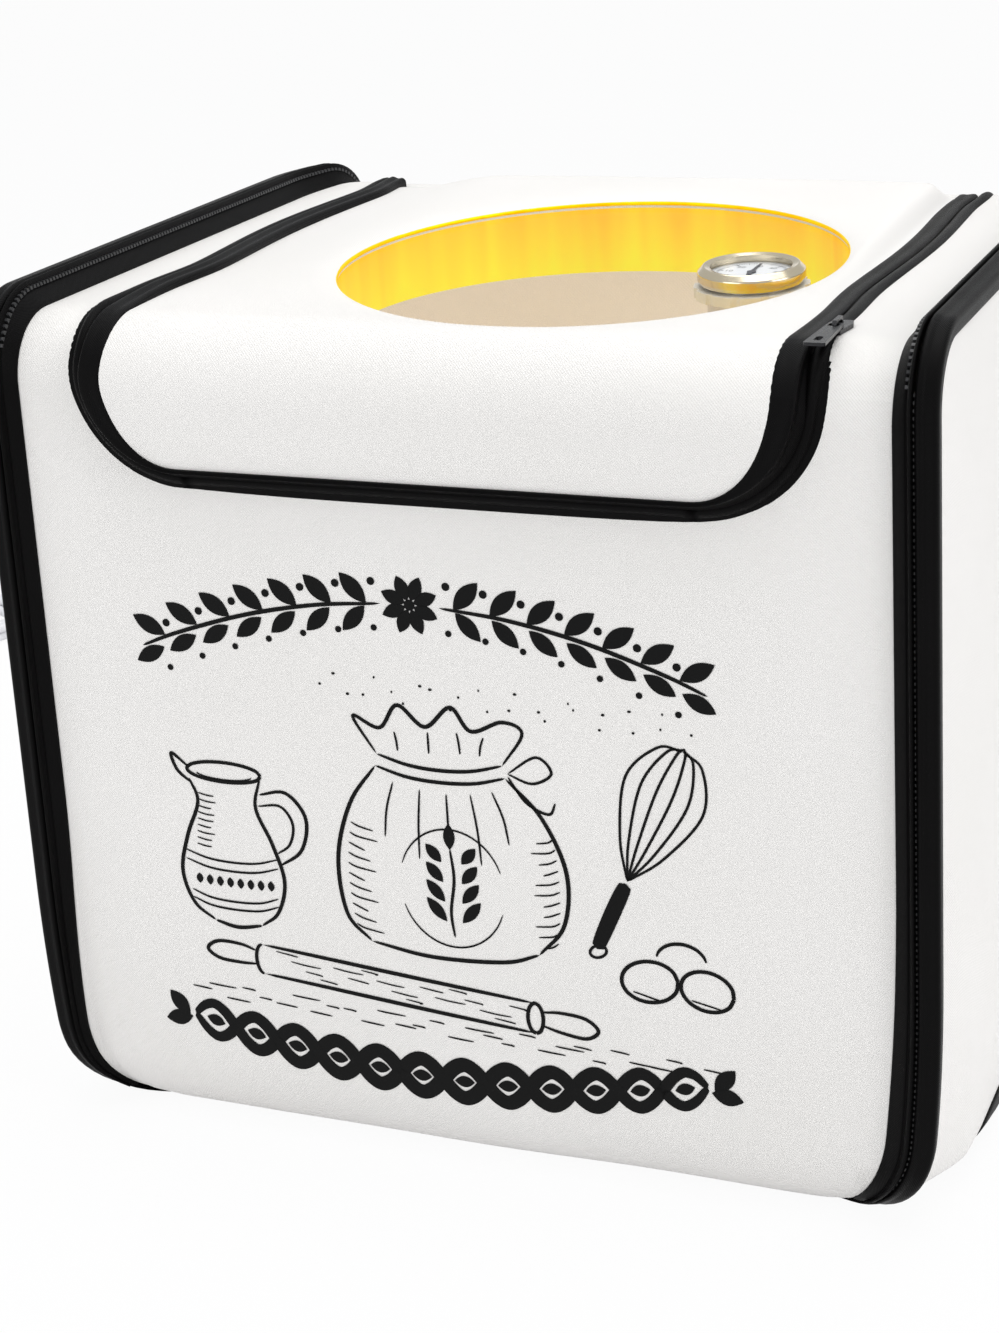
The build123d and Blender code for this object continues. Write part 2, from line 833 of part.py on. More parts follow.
heating_mat.part.label = "heating_mat"
export_step(heating_mat.part, "parts/heating_mat.step")

# ---------------------------------------------------------------- lead
# Moulded relief through the rear of the base, then the lead along the floor.
relief_tip = back_y + relief_length
with BuildPart() as strain_relief:
    with BuildSketch(Plane.YZ.offset(cord_exit_x)):
        with BuildLine():
            Polyline(
                (back_y - wall, cord_exit_z),
                (back_y - wall, cord_exit_z + relief_radius),
                (collar_front + ply_gap, cord_exit_z + relief_radius),
                (collar_front + ply_gap, cord_exit_z + collar_radius),
                (back_y + 1.4, cord_exit_z + collar_radius),
                (back_y + 1.4, cord_exit_z + relief_radius),
                (relief_tip, cord_exit_z + cord_diameter / 2 + 0.8),
                (relief_tip, cord_exit_z),
                close=True,
            )
        make_face()
    revolve(axis=Axis((cord_exit_x, 0, cord_exit_z), (0, 1, 0)))
    for rib in range(4):
        rib_y = back_y + 7 + 5.5 * rib
        with BuildSketch(Plane.XZ.offset(-rib_y)):
            with Locations((cord_exit_x, cord_exit_z)):
                Circle(relief_radius + 1)
                Circle(cord_diameter / 2 + 0.4, mode=Mode.SUBTRACT)
        extrude(amount=-1.6, mode=Mode.SUBTRACT)
strain_relief.part.label = "strain_relief"
export_step(strain_relief.part, "parts/strain_relief.step")


def cord_tube(points):
    """Tube along straight runs joined by the largest arcs that the runs allow."""
    knots = [Vector(*point) for point in points]
    runs = [after - before for before, after in zip(knots, knots[1:])]
    radii = []
    for before, after in zip(runs, runs[1:]):
        half_turn = radians(before.get_angle(after) / 2)
        radii.append(0.45 * min(before.length, after.length) / tan(half_turn))
    print("cord radii", [round(radius) for radius in radii])
    with BuildPart() as tube:
        with BuildLine() as path:
            FilletPolyline(*points, radius=radii)
        with BuildSketch(Plane(origin=points[0], z_dir=runs[0])):
            Circle(cord_diameter / 2)
        sweep(path=path.line)
    length = sum(edge.length for edge in path.edges())
    share = tube.part.volume / (length * pi * cord_diameter**2 / 4)
    print("cord length", round(length), "volume share", round(share, 3))
    return tube.part


floor = cord_diameter / 2
remote_right = remote_x + remote_length / 2 + remote_nose
remote_left = remote_x - remote_length / 2 - remote_nose

near_lead = cord_tube(
    [
        (cord_exit_x, relief_tip, cord_exit_z),
        (cord_exit_x, relief_tip + 20, cord_exit_z),
        (cord_exit_x - 3, relief_tip + 52, floor),
        (cord_exit_x - 24, remote_y - 2, floor),
        (remote_right + nozzle_gap, remote_y, remote_cord_z),
    ]
)
near_lead.label = "cord_near"
export_step(near_lead, "parts/cord_near.step")

coil_outer_turn = coil_turn_radius + cord_diameter
along = (cos(radians(coil_heading)), sin(radians(coil_heading)))
coil_centre = (
    coil_meeting[0] - coil_outer_turn * along[1],
    coil_meeting[1] + coil_outer_turn * along[0],
)
tube_end = (
    coil_meeting[0] - stub_length * along[0],
    coil_meeting[1] - stub_length * along[1],
)
far_lead = cord_tube(
    [
        (remote_left - nozzle_gap, remote_y, remote_cord_z),
        (-98, 262.5, floor),
        (-160, 258.5, floor),
        (-228, 263.5, floor),
        (-296, 275, floor),
        (-362, 292, floor),
        (-425, 316, floor),
        (-479, 346.5, floor),
        (tube_end[0], tube_end[1], floor),
    ]
)
far_lead.label = "cord_far"
export_step(far_lead, "parts/cord_far.step")

# Put-away coil: three turns beside each other, two high, with the ends of its turns.
with BuildPart() as cord_coil:
    with BuildSketch():
        with Locations(coil_centre):
            Circle(coil_turn_radius + 1.5 * cord_diameter)
            Circle(coil_turn_radius - 1.5 * cord_diameter, mode=Mode.SUBTRACT)
    extrude(amount=2 * cord_diameter)
    with BuildSketch(Plane(origin=(*tube_end, 0), x_dir=(*along, 0), z_dir=(0, 0, 1))):
        with Locations((stub_length / 2, 0)):
            Rectangle(stub_length, cord_diameter)
    extrude(amount=cord_diameter)
    with BuildSketch(Plane.XY.offset(cord_diameter)):
        with Locations((coil_centre[0] - coil_outer_turn, coil_centre[1] - stub_length / 2)):
            Rectangle(cord_diameter, stub_length)
    extrude(amount=cord_diameter)
cord_coil.part.label = "cord_coil"
export_step(cord_coil.part, "parts/cord_coil.step")

# ---------------------------------------------------------------- mains plug
plug_z = 1.5 * cord_diameter
plug_x = coil_centre[0] - coil_outer_turn
plug_start = coil_centre[1] - stub_length
with BuildPart() as plug_body:
    with BuildSketch(Plane.XZ.offset(-plug_start)):
        with Locations((plug_x, plug_z)):
            Circle(cord_diameter / 2 + 1.2)
    with BuildSketch(Plane.XZ.offset(-plug_start + plug_nose)):
        with Locations((plug_x, plug_z)):
            RectangleRounded(plug_width - 6, 2 * plug_z - 2, 5)
    loft()
    with BuildSketch(Plane.XZ.offset(-plug_start + plug_nose)):
        with Locations((plug_x, plug_z)):
            RectangleRounded(plug_width, 2 * plug_z, 5)
    extrude(amount=plug_length)
    fillet(plug_body.faces().sort_by(Axis.Y)[0].edges(), 1.5)
plug_body.part.label = "plug_body"
export_step(plug_body.part, "parts/plug_body.step")

plug_face = plug_start - plug_nose - plug_length
with BuildPart() as plug_blades:
    with BuildSketch(Plane.XZ.offset(-plug_face)):
        with Locations((plug_x, plug_z)):
            with GridLocations(blade_pitch, 1, 2, 1):
                Rectangle(blade_thickness, blade_width)
    extrude(amount=blade_length)
    chamfer(plug_blades.edges().group_by(Axis.Y)[0].filter_by(Axis.Z), 0.5)
plug_blades.part.label = "plug_blades"
export_step(plug_blades.part, "parts/plug_blades.step")

# ---------------------------------------------------------------- controller
# Two half shells on the lead, with a display and two push buttons.
remote_split = remote_height / 2
display_x = display_inset - remote_length / 2
buttons_x = remote_length / 2 - buttons_inset
remote_plane = Plane(origin=(remote_x, remote_y, 0), x_dir=(1, 0, 0), z_dir=(0, 0, 1))


def remote_blank(inset, low, high):
    """Rounded block of the controller's outline, with its outer edges softened."""
    with BuildPart() as blank:
        with BuildSketch(remote_plane.offset(low)):
            RectangleRounded(
                remote_length - 2 * inset,
                remote_width - 2 * inset,
                remote_corner - inset,
            )
        extrude(amount=high - low)
    return blank.part


def remote_noses(radius):
    """Cord nozzles at both ends, of one radius, along the controller."""
    with BuildPart() as noses:
        with BuildSketch(Plane.YZ.offset(remote_left)):
            with Locations((remote_y, remote_cord_z)):
                Circle(radius)
        extrude(amount=remote_right - remote_left)
    return noses.part


with BuildPart() as remote_base:
    add(remote_blank(0, 0, remote_split - ply_gap / 2))
    fillet(remote_base.faces().sort_by(Axis.Z)[0].edges(), 2.5)
    add(remote_noses(cord_diameter / 2 + 1.8))
    add(remote_blank(remote_wall, remote_wall, remote_height), mode=Mode.SUBTRACT)
    with BuildSketch(remote_plane.offset(remote_split - ply_gap / 2)):
        Rectangle(remote_length + 4 * remote_nose, remote_width)
    extrude(amount=remote_height, mode=Mode.SUBTRACT)
remote_base.part.label = "controller_base"
export_step(remote_base.part, "parts/controller_base.step")

with BuildPart() as remote_cover:
    add(remote_blank(0, remote_split + ply_gap / 2, remote_height))
    fillet(remote_cover.faces().sort_by(Axis.Z)[-1].edges(), 3.0)
    add(remote_blank(remote_wall, 0, remote_height - remote_wall), mode=Mode.SUBTRACT)
    with BuildSketch(remote_plane.offset(remote_height)):
        with Locations((display_x, 0)):
            RectangleRounded(display_length, display_width, 2)
        with Locations((buttons_x, 0)):
            with GridLocations(1, button_pitch, 1, 2):
                Circle(button_diameter / 2 + running_gap)
    extrude(amount=-2 * remote_wall, mode=Mode.SUBTRACT)
remote_cover.part.label = "controller_cover"
export_step(remote_cover.part, "parts/controller_cover.step")

with BuildPart() as remote_window:
    with BuildSketch(remote_plane.offset(remote_height - remote_wall + 0.1)):
        with Locations((display_x, 0)):
            RectangleRounded(display_length - 0.4, display_width - 0.4, 1.8)
    extrude(amount=remote_wall - 0.5)
remote_window.part.label = "controller_window"
export_step(remote_window.part, "parts/controller_window.step")

button_foot = remote_height - remote_wall - button_travel - 1
for button_name, place in (("level", -1), ("power", 1)):
    with BuildPart() as button:
        with BuildSketch(remote_plane.offset(button_foot)):
            with Locations((buttons_x, place * button_pitch / 2)):
                Circle(button_diameter / 2)
        extrude(amount=remote_height + button_rise - button_foot)
        fillet(button.faces().sort_by(Axis.Z)[-1].edges(), 0.7)
    button.part.label = f"{button_name}_button"
    export_step(button.part, f"parts/{button_name}_button.step")
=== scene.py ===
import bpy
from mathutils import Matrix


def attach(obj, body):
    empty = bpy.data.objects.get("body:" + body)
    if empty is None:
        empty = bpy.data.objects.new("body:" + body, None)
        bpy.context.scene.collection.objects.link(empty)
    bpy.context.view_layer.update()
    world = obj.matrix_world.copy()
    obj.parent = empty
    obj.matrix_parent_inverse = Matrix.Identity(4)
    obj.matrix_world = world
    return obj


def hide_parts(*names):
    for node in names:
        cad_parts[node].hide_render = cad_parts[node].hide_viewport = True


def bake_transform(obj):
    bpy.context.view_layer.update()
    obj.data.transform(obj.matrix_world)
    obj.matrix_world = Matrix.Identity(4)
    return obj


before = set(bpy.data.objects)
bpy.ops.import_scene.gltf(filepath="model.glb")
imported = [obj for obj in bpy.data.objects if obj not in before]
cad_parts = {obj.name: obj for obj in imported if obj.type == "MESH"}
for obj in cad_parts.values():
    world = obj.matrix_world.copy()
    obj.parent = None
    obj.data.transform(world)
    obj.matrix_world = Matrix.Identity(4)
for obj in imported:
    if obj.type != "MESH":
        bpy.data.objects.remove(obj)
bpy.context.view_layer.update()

from math import asin, atan2, cos, pi, radians, sin

import bpy
import numpy as np
from mathutils import Matrix, Vector

# ------------------------------------------------------------------ studio
# A pale sweep that stays white behind the box and keeps only a faint shadow, soft
# daylight from above and both sides, and the camera in front of the right corner.
scene = bpy.context.scene
scene.view_settings.view_transform = "Standard"


def tune(thing, **values):
    """Sets properties of a thing, and inputs of a node by their names with _ for each space."""
    for key, value in values.items():
        if hasattr(thing, key):
            setattr(thing, key, value)
        else:
            thing.inputs[key.replace("_", " ")].default_value = value
    return thing


def new_material(name):
    """Material with its Principled shader, and its functions that link and add nodes."""
    material = bpy.data.materials.new(name)
    material.use_nodes = True
    tree = material.node_tree

    def add(kind, **values):
        return tune(tree.nodes.new(kind), **values)

    return material, tree.nodes["Principled BSDF"], tree.links.new, add


# Rays that see the sweep directly, in a gloss or through the film find it nearly white.
sweep_paint, shader, link, add = new_material("sweep_paint")
tune(shader, Base_Color=(0.86, 0.86, 0.87, 1), Roughness=0.9)
rays = add("ShaderNodeLightPath")
seen = add("ShaderNodeMath", operation="MAXIMUM")
link(rays.outputs["Is Camera Ray"], seen.inputs[0])
link(rays.outputs["Is Glossy Ray"], seen.inputs[1])
through = add("ShaderNodeMath", operation="MAXIMUM")
link(seen.outputs[0], through.inputs[0])
link(rays.outputs["Is Transmission Ray"], through.inputs[1])
share = add("ShaderNodeMath", operation="MULTIPLY")
share.inputs[1].default_value = 0.94
link(through.outputs[0], share.inputs[0])
glow = add("ShaderNodeEmission", Color=(1, 1, 1, 1), Strength=1.0)
blend_in = add("ShaderNodeMixShader")
link(share.outputs[0], blend_in.inputs[0])
link(shader.outputs[0], blend_in.inputs[1])
link(glow.outputs[0], blend_in.inputs[2])
link(blend_in.outputs[0], sweep_paint.node_tree.nodes["Material Output"].inputs["Surface"])


def quad_grid(index):
    """Corner numbers of the quads between neighbours in a grid of point numbers."""
    return np.stack([index[:-1, :-1], index[1:, :-1], index[1:, 1:], index[:-1, 1:]], axis=-1)


def grid_mesh(name, points, closed_rows=False, closed_columns=False):
    """Mesh of quads through a rows-by-columns array of points, joined at its ends on request."""
    rows, columns = points.shape[:2]
    index = np.arange(rows * columns).reshape(rows, columns)
    if closed_rows:
        index = np.vstack([index, index[:1]])
    if closed_columns:
        index = np.hstack([index, index[:, :1]])
    mesh = bpy.data.meshes.new(name)
    mesh.from_pydata(points.reshape(-1, 3).tolist(), [], quad_grid(index).reshape(-1, 4).tolist())
    mesh.shade_smooth()
    return mesh


def stand(name, mesh, *materials):
    """Object at the origin for a mesh, linked into the scene with its materials."""
    piece = bpy.data.objects.new(name, mesh)
    bpy.context.collection.objects.link(piece)
    for material in materials:
        mesh.materials.append(material)
    return piece


# The sweep is flat under the box and curls up behind it as a quarter circle.
across, along = np.meshgrid(np.linspace(-6, 6, 3), np.linspace(0, 1, 60), indexing="ij")
run = along * 9.0 - 3.5
curl = np.clip((run - 3.0) / 2.0, 0, pi / 2)
sweep_y = np.minimum(run, 3.0) + 2.0 * np.sin(curl)
sweep_points = np.stack([across, sweep_y, 2.0 * (1 - np.cos(curl)) - 0.0005], axis=-1)
sweep = stand("sweep", grid_mesh("sweep", sweep_points), sweep_paint)

world = bpy.data.worlds.new("daylight")
world.use_nodes = True
scene.world = world
nodes, link = world.node_tree.nodes, world.node_tree.links.new
sky = tune(nodes["Background"], Color=(0.96, 0.98, 1.0, 1), Strength=0.60)
seen = nodes.new("ShaderNodeLightPath").outputs["Is Camera Ray"]
white = tune(nodes.new("ShaderNodeBackground"), Color=(1, 1, 1, 1))
both = nodes.new("ShaderNodeMixShader")
link(seen, both.inputs[0])
link(sky.outputs[0], both.inputs[1])
link(white.outputs[0], both.inputs[2])
link(both.outputs[0], nodes["World Output"].inputs["Surface"])

for lamp_name, place, size, watts in (
    ("top_softbox", (0.1, 0.2, 1.9), 1.6, 20.0),
    ("front_softbox", (-0.8, -2.0, 0.8), 1.5, 12.0),
    ("right_softbox", (2.0, -0.4, 0.9), 1.2, 15.0),
):
    lamp = bpy.data.lights.new(lamp_name, "AREA")
    lamp.size = size
    lamp.energy = watts
    holder = bpy.data.objects.new(lamp_name, lamp)
    aim = (Vector((0, 0, 0.2)) - Vector(place)).to_track_quat("-Z", "Y")
    holder.matrix_world = Matrix.Translation(place) @ aim.to_matrix().to_4x4()
    bpy.context.collection.objects.link(holder)

# The camera's focal length and principal point are in pixels of its view.
yaw, pitch, roll = 0.3824, 0.3137, -0.0519
view_wide, view_tall = 999, 1333
focal, middle_x, middle_y = 2616.4, 548.6, 548.1
ahead = Vector((-sin(yaw) * cos(pitch), cos(yaw) * cos(pitch), -sin(pitch)))
level = Vector((cos(yaw), sin(yaw), 0))
upright = level.cross(ahead)
right = cos(roll) * level + sin(roll) * upright
up = -sin(roll) * level + cos(roll) * upright
camera_data = bpy.data.cameras.new("camera")
tune(camera_data, sensor_fit="AUTO", sensor_width=36.0)
camera_data.lens = focal * camera_data.sensor_width / view_tall
camera_data.shift_x = (view_wide / 2 - middle_x) / view_tall
camera_data.shift_y = (middle_y - view_tall / 2) / view_tall
camera = bpy.data.objects.new("camera", camera_data)
turn = Matrix((right, up, -ahead)).transposed().to_4x4()
camera.matrix_world = Matrix.Translation((0.3846, -1.0005, 0.5593)) @ turn
bpy.context.collection.objects.link(camera)
scene.camera = camera

# ------------------------------------------------------------------ lead
# Round flexible lead in pale grey rubber: a short stretch from the heating mat's
# strain relief to the controller, then the long one to the plug, its end wound up.
lead_diameter = 0.006


def texture_group(name):
    """Shader group over a vector: a slow colour drift, and room for a fine height."""
    group = bpy.data.node_groups.new(name, "ShaderNodeTree")
    face, make, link = group.interface, group.nodes.new, group.links.new
    face.new_socket("Vector", in_out="INPUT", socket_type="NodeSocketVector")
    for label in ("Fine Scale", "Drift Scale"):
        face.new_socket(label, in_out="INPUT", socket_type="NodeSocketFloat")
    for label in ("Height", "Drift"):
        face.new_socket(label, in_out="OUTPUT", socket_type="NodeSocketFloat")
    entry, leave = make("NodeGroupInput"), make("NodeGroupOutput")
    slow = tune(make("ShaderNodeTexNoise"), Detail=2)
    link(entry.outputs["Vector"], slow.inputs["Vector"])
    link(entry.outputs["Drift Scale"], slow.inputs["Scale"])
    link(slow.outputs["Fac"], leave.inputs["Drift"])
    return group, entry.outputs, leave.inputs, make, link


# Grain: the height is a fine noise.
grain, entry, leave, make, link = texture_group("grain")
fine = tune(make("ShaderNodeTexNoise"), Detail=3)
link(entry["Vector"], fine.inputs["Vector"])
link(entry["Fine Scale"], fine.inputs["Scale"])
link(fine.outputs["Fac"], leave["Height"])

# Plain weave over a cloth map in metres: the height is raised warp and weft threads.
weave, entry, leave, make, link = texture_group("weave")
flat = make("ShaderNodeSeparateXYZ")
link(entry["Vector"], flat.inputs[0])
crossing = tune(make("ShaderNodeMath"), operation="MULTIPLY")
for number, axis in enumerate("XY"):
    count = tune(make("ShaderNodeMath"), operation="MULTIPLY")
    link(flat.outputs[axis], count.inputs[0])
    link(entry["Fine Scale"], count.inputs[1])
    wave = tune(make("ShaderNodeMath"), operation="SINE")
    link(count.outputs[0], wave.inputs[0])
    link(wave.outputs[0], crossing.inputs[number])
link(crossing.outputs[0], leave["Height"])


def finish(name, light, dark, roughness, fine=900.0, bump=0.0002, drift=14.0, woven=False, **values):
    """Two near colours and a little roughness mixed by a slow drift, with a fine relief: the
    grain over Object coordinates, or the weave over the cloth map."""
    material, shader, link, add = new_material(name)
    texture = add("ShaderNodeGroup", node_tree=weave if woven else grain, Fine_Scale=fine, Drift_Scale=drift)
    place = add("ShaderNodeUVMap", uv_map="cloth") if woven else add("ShaderNodeTexCoord")
    link(place.outputs["UV" if woven else "Object"], texture.inputs["Vector"])
    spread, strength = (0.06, 0.6) if woven else (0.08, 0.5)
    shades = add("ShaderNodeMix", data_type="RGBA", A=(*dark, 1), B=(*light, 1))
    link(texture.outputs["Drift"], shades.inputs["Factor"])
    link(shades.outputs["Result"], shader.inputs["Base Color"])
    gloss = add("ShaderNodeMapRange", To_Min=roughness - spread, To_Max=roughness + spread)
    link(texture.outputs["Drift"], gloss.inputs["Value"])
    link(gloss.outputs["Result"], shader.inputs["Roughness"])
    relief = add("ShaderNodeBump", Distance=bump, Strength=strength)
    link(texture.outputs["Height"], relief.inputs["Height"])
    link(relief.outputs["Normal"], shader.inputs["Normal"])
    tune(shader, **values)
    return material


def dress(material, *nodes):
    """Gives CAD nodes one material in all of their slots."""
    for node in nodes:
        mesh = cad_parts[node].data
        if not mesh.materials:
            mesh.materials.append(material)
        for slot in range(len(mesh.materials)):
            mesh.materials[slot] = material


lead_rubber = finish("lead_rubber", (0.80, 0.80, 0.82), (0.74, 0.74, 0.76), 0.42)


def lead_line(name, points):
    """Smooth lead: a NURBS line through its route's control points, as round as its diameter."""
    curve = bpy.data.curves.new(name, "CURVE")
    tune(curve, dimensions="3D", bevel_depth=lead_diameter / 2, bevel_resolution=5, resolution_u=8)
    curve.use_fill_caps = True
    spline = curve.splines.new("NURBS")
    spline.points.add(len(points) - 1)
    spline.points.foreach_set("co", [v for point in points for v in (*point, 1.0)])
    tune(spline, order_u=3, use_endpoint_u=True)
    piece = bpy.data.objects.new(name, curve)
    curve.materials.append(lead_rubber)
    bpy.context.collection.objects.link(piece)
    return piece


near_lead = lead_line("near_lead", [
    (0.110, 0.186, 0.022), (0.110, 0.206, 0.022), (0.107, 0.238, 0.003), (0.086, 0.262, 0.003),
    (0.0504, 0.264, 0.006),
])
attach(near_lead, "base")
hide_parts("cord_near")

# The put-away end winds inwards on the table for two turns, climbs one diameter and
# winds outwards again on top: a spiral whose radius changes one diameter a turn.
coil_centre = (-0.5662, 0.3581)
coil_start, coil_end = radians(58.7), radians(180 + 4 * 360)
inward = 2 * 2 * pi
steps = 70
pitch_angle = (coil_end - coil_start) / steps
wound = (np.arange(steps) + 0.5) * pitch_angle
layer = np.clip((wound - inward) / radians(75), 0, 1)
coil_outer, coil_inner = 0.036, 0.024
back_out = np.clip((wound - inward) / (wound[-1] - inward), 0, 1)
coil_radius = np.where(
    wound < inward,
    coil_outer - lead_diameter * wound / (2 * pi),
    coil_inner + (coil_outer - coil_inner) * back_out,
) / cos(pitch_angle / 2)
coil_points = np.stack([
    coil_centre[0] + coil_radius * np.cos(coil_start + wound),
    coil_centre[1] + coil_radius * np.sin(coil_start + wound),
    0.003 + lead_diameter * layer * layer * (3 - 2 * layer),
], axis=-1)
far_lead = lead_line("far_lead", [
    (-0.0584, 0.264, 0.006), (-0.098, 0.2625, 0.003), (-0.160, 0.2585, 0.003),
    (-0.228, 0.2635, 0.003), (-0.296, 0.275, 0.003), (-0.362, 0.292, 0.003),
    (-0.425, 0.316, 0.003), (-0.479, 0.3465, 0.003), (-0.527, 0.3764, 0.003),
    *coil_points.tolist(), (-0.6022, 0.3341, 0.009),
])
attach(far_lead, "base")
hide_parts("cord_far", "cord_coil")

moulded = finish("moulded_plastic", (0.82, 0.82, 0.83), (0.76, 0.76, 0.78), 0.38, 1400.0)
dress(moulded, "strain_relief", "controller_base", "controller_cover", "plug_body")


# ------------------------------------------------------------------ sleeve
# Front, base, back and top are foam boards between coated white fabric and a cream
# lining, sewn in one sleeve. Each pad is a closed skin that turns round the sleeve's corners.
# The lengths run round the sleeve's section from the middle of its floor, to the front,
# up and back, by straights and corners in turn. The split parts front wall and top.
corner_arc = 0.026 * pi / 2
walls = np.cumsum([0, 0.130, corner_arc, 0.289, corner_arc, 0.260, corner_arc, 0.289, corner_arc, 0.130])
door_half, door_corner = 0.1423, 0.0403
door_foot = walls[2] + 0.2857 - 0.026
door_rear = walls[5] + 0.0003
split = walls[3] + 0.251 * corner_arc


def drawn_in(points):
    """Points with soft corners drawn inwards: the lower front ones gently, then by a tight circle
    at the floor, and the upper rear ones by a smooth step."""
    x, y, z = points[..., 0], points[..., 1], points[..., 2]
    low = np.clip(1 - z / 0.105, 0, 1)
    last = np.clip(1 - z / 0.040, 0, 1)
    inward = 0.012 * (1 - np.sqrt(1 - low * low)) + 0.032 * (1 - np.sqrt(1 - last * last))
    start = 0.045 + 0.065 * np.clip(z / 0.012, 0, 1)
    inward = inward * soft_step((-y - start) / (0.155 - start)) * np.clip(np.abs(x) / 0.18, 0, 1) ** 4
    far = soft_step((y - 0.100) / 0.060) * soft_step((z - 0.280) / 0.050)
    inward = inward + 0.011 * far * np.clip(np.abs(x) / 0.18, 0, 1) ** 16
    points[..., 0] = x - np.sign(x) * inward
    return points


def soft_step(value):
    """Smooth step from 0 to 1."""
    value = np.clip(value, 0, 1)
    return value * value * (3 - 2 * value)


def sleeve(x, s, rise, share=0.0):
    """Point at x, a length s round the sleeve and a rise above it. The corners' centres move
    along the straights, and the normal turns evenly round the corners. Share 1 is the outline
    of the side panels, which stand 4 mm out at front and back and 9 mm at the top."""
    x, s, rise, share = np.broadcast_arrays(x, np.mod(s, walls[-1]), rise, share)
    corner = 0.026 + 0.004 * share
    side = np.interp(s, walls, [0, -1, -1, -1, -1, 1, 1, 1, 1, 0])
    height = np.interp(s, walls, [0, 0, 0, 1, 1, 1, 1, 0, 0, 0])
    turn = -pi / 2 * np.interp(s, walls, [1, 1, 2, 2, 3, 3, 4, 4, 5, 5])
    y = (0.156 + 0.004 * share - corner) * side + (corner + rise) * np.cos(turn)
    z = corner + (0.341 + 0.009 * share - 2 * corner) * height + (corner + rise) * np.sin(turn)
    return drawn_in(np.stack([x, y, np.maximum(z, 0.0002)], axis=-1))


def door_gap(x, s):
    """Distance from the doorway, a rectangle whose two front corners are round."""
    middle, half = (door_foot + door_rear) / 2, (door_rear - door_foot) / 2
    radius = np.where(s < middle, door_corner, 0.003)
    across = np.abs(x) - (door_half - radius)
    along = np.abs(s - middle) - (half - radius)
    outside = np.hypot(np.maximum(across, 0), np.maximum(along, 0))
    return outside + np.minimum(np.maximum(across, along), 0) - radius


def slack(x, s):
    """Slow waves of loosely filled fabric, between -1 and 1."""
    return (
        0.45 * np.sin(31 * x + 9 * s + 0.6)
        + 0.30 * np.sin(17 * x - 38 * s + 2.1)
        + 0.25 * np.sin(57 * x + 23 * s + 4.0)
    )


def sleeve_plump(x, s):
    """Rise of the white fabric over its foam: quick beside the seams, then level and slack."""
    gap = np.maximum(np.minimum(0.1737 - np.abs(x), door_gap(x, s)), 0)
    return 0.0018 * (1 - np.exp(-gap / 0.007)) + 0.0006 * slack(x, s) * (1 - np.exp(-gap / 0.025))


def between(inner, outer, rows):
    """Rows of points from one line to another, closer together beside both."""
    share = ((1 - np.cos(np.linspace(0, pi, rows))) / 2)[None, :, None]
    return inner[:, None] * (1 - share) + outer[:, None] * share


def map_cloth(mesh, flat):
    """Cloth map: a flat place in metres for each of the mesh's points."""
    order = np.empty(len(mesh.loops), np.int32)
    mesh.loops.foreach_get("vertex_index", order)
    mesh.uv_layers.new(name="cloth").data.foreach_set("uv", flat[order].reshape(-1))


def pad_mesh(name, outer, inner, plan, closed=False, steps=3):
    """Closed pad from an outer and an inner grid of points: their long edges are joined by
    narrow rows, and their ends are capped. Faces of the inner grid take the second material."""
    rows, columns = outer.shape[:2]
    fill = np.linspace(0, 1, steps + 2)[1:-1][None, :, None]
    far_side = outer[:, -1:] * (1 - fill) + inner[:, -1:] * fill
    near_side = inner[:, :1] * (1 - fill) + outer[:, :1] * fill
    ring = np.concatenate([outer, far_side, inner[:, ::-1], near_side], axis=1)
    wide = ring.shape[1]
    index = np.arange(rows * wide).reshape(rows, wide)
    index = np.hstack([index, index[:, :1]])
    if closed:
        index = np.vstack([index, index[:1]])
    quads = quad_grid(index)
    lined = np.zeros(quads.shape[:2], int)
    lined[:, columns + steps: 2 * columns + steps] = 1
    faces, slots = quads.reshape(-1, 4), lined.reshape(-1)
    points = ring.reshape(-1, 3)
    flat = np.concatenate(
        [plan, np.repeat(plan[:, -1:], steps, 1), plan[:, ::-1], np.repeat(plan[:, :1], steps, 1)],
        axis=1,
    ).reshape(-1, 2)
    if not closed:
        top_row = np.arange(columns)
        low_row = 2 * columns + steps - 1 - top_row
        for end, order in ((0, 1), (rows - 1, -1)):
            cap = len(points) + np.stack(
                [top_row[:-1], top_row[1:], low_row[1:], low_row[:-1]], axis=-1
            )[:, ::order]
            points, flat = np.vstack([points, ring[end]]), np.vstack([flat, flat[:wide]])
            faces, slots = np.vstack([faces, cap]), np.append(slots, np.zeros(columns - 1, int))
    corners = points[faces]
    volume = np.einsum(
        "ij,ij->", corners[:, 0], np.cross(corners[:, 1], corners[:, 2])
    ) + np.einsum("ij,ij->", corners[:, 0], np.cross(corners[:, 2], corners[:, 3]))
    if volume < 0:
        faces = faces[:, ::-1]
    mesh = bpy.data.meshes.new(name)
    mesh.from_pydata(points.tolist(), [], faces.tolist())
    mesh.polygons.foreach_set("material_index", slots)
    mesh.shade_smooth()
    map_cloth(mesh, flat)
    return mesh


# Painted light: a faint warm emission on the cream lining and the heating mat stands in for daylight that
# comes in through the window and bounces round the inside; neither part is a lamp.
painted_inner_glow = {"Emission_Color": (1.0, 0.93, 0.84, 1), "Emission_Strength": 0.15}
white_cloth = finish(
    "white_cloth", (0.84, 0.82, 0.80), (0.79, 0.77, 0.74), 0.52, 5200.0, 0.00012, 9.0, woven=True
)
cream_lining = finish(
    "cream_lining", (0.92, 0.86, 0.76), (0.89, 0.82, 0.71), 0.6, 3600.0, 0.00012, 9.0, woven=True,
    **painted_inner_glow,
)


def sleeve_pad(name, plan):
    """Pad of the sleeve over an unrolled plan of x and s, with its lining 10 mm below."""
    x, s = plan[..., 0], plan[..., 1]
    puff = sleeve_plump(x, s)
    lining = sleeve(x, s, -0.010 - 0.4 * puff)
    return stand(name, pad_mesh(name, sleeve(x, s, puff), lining, plan), white_cloth, cream_lining)


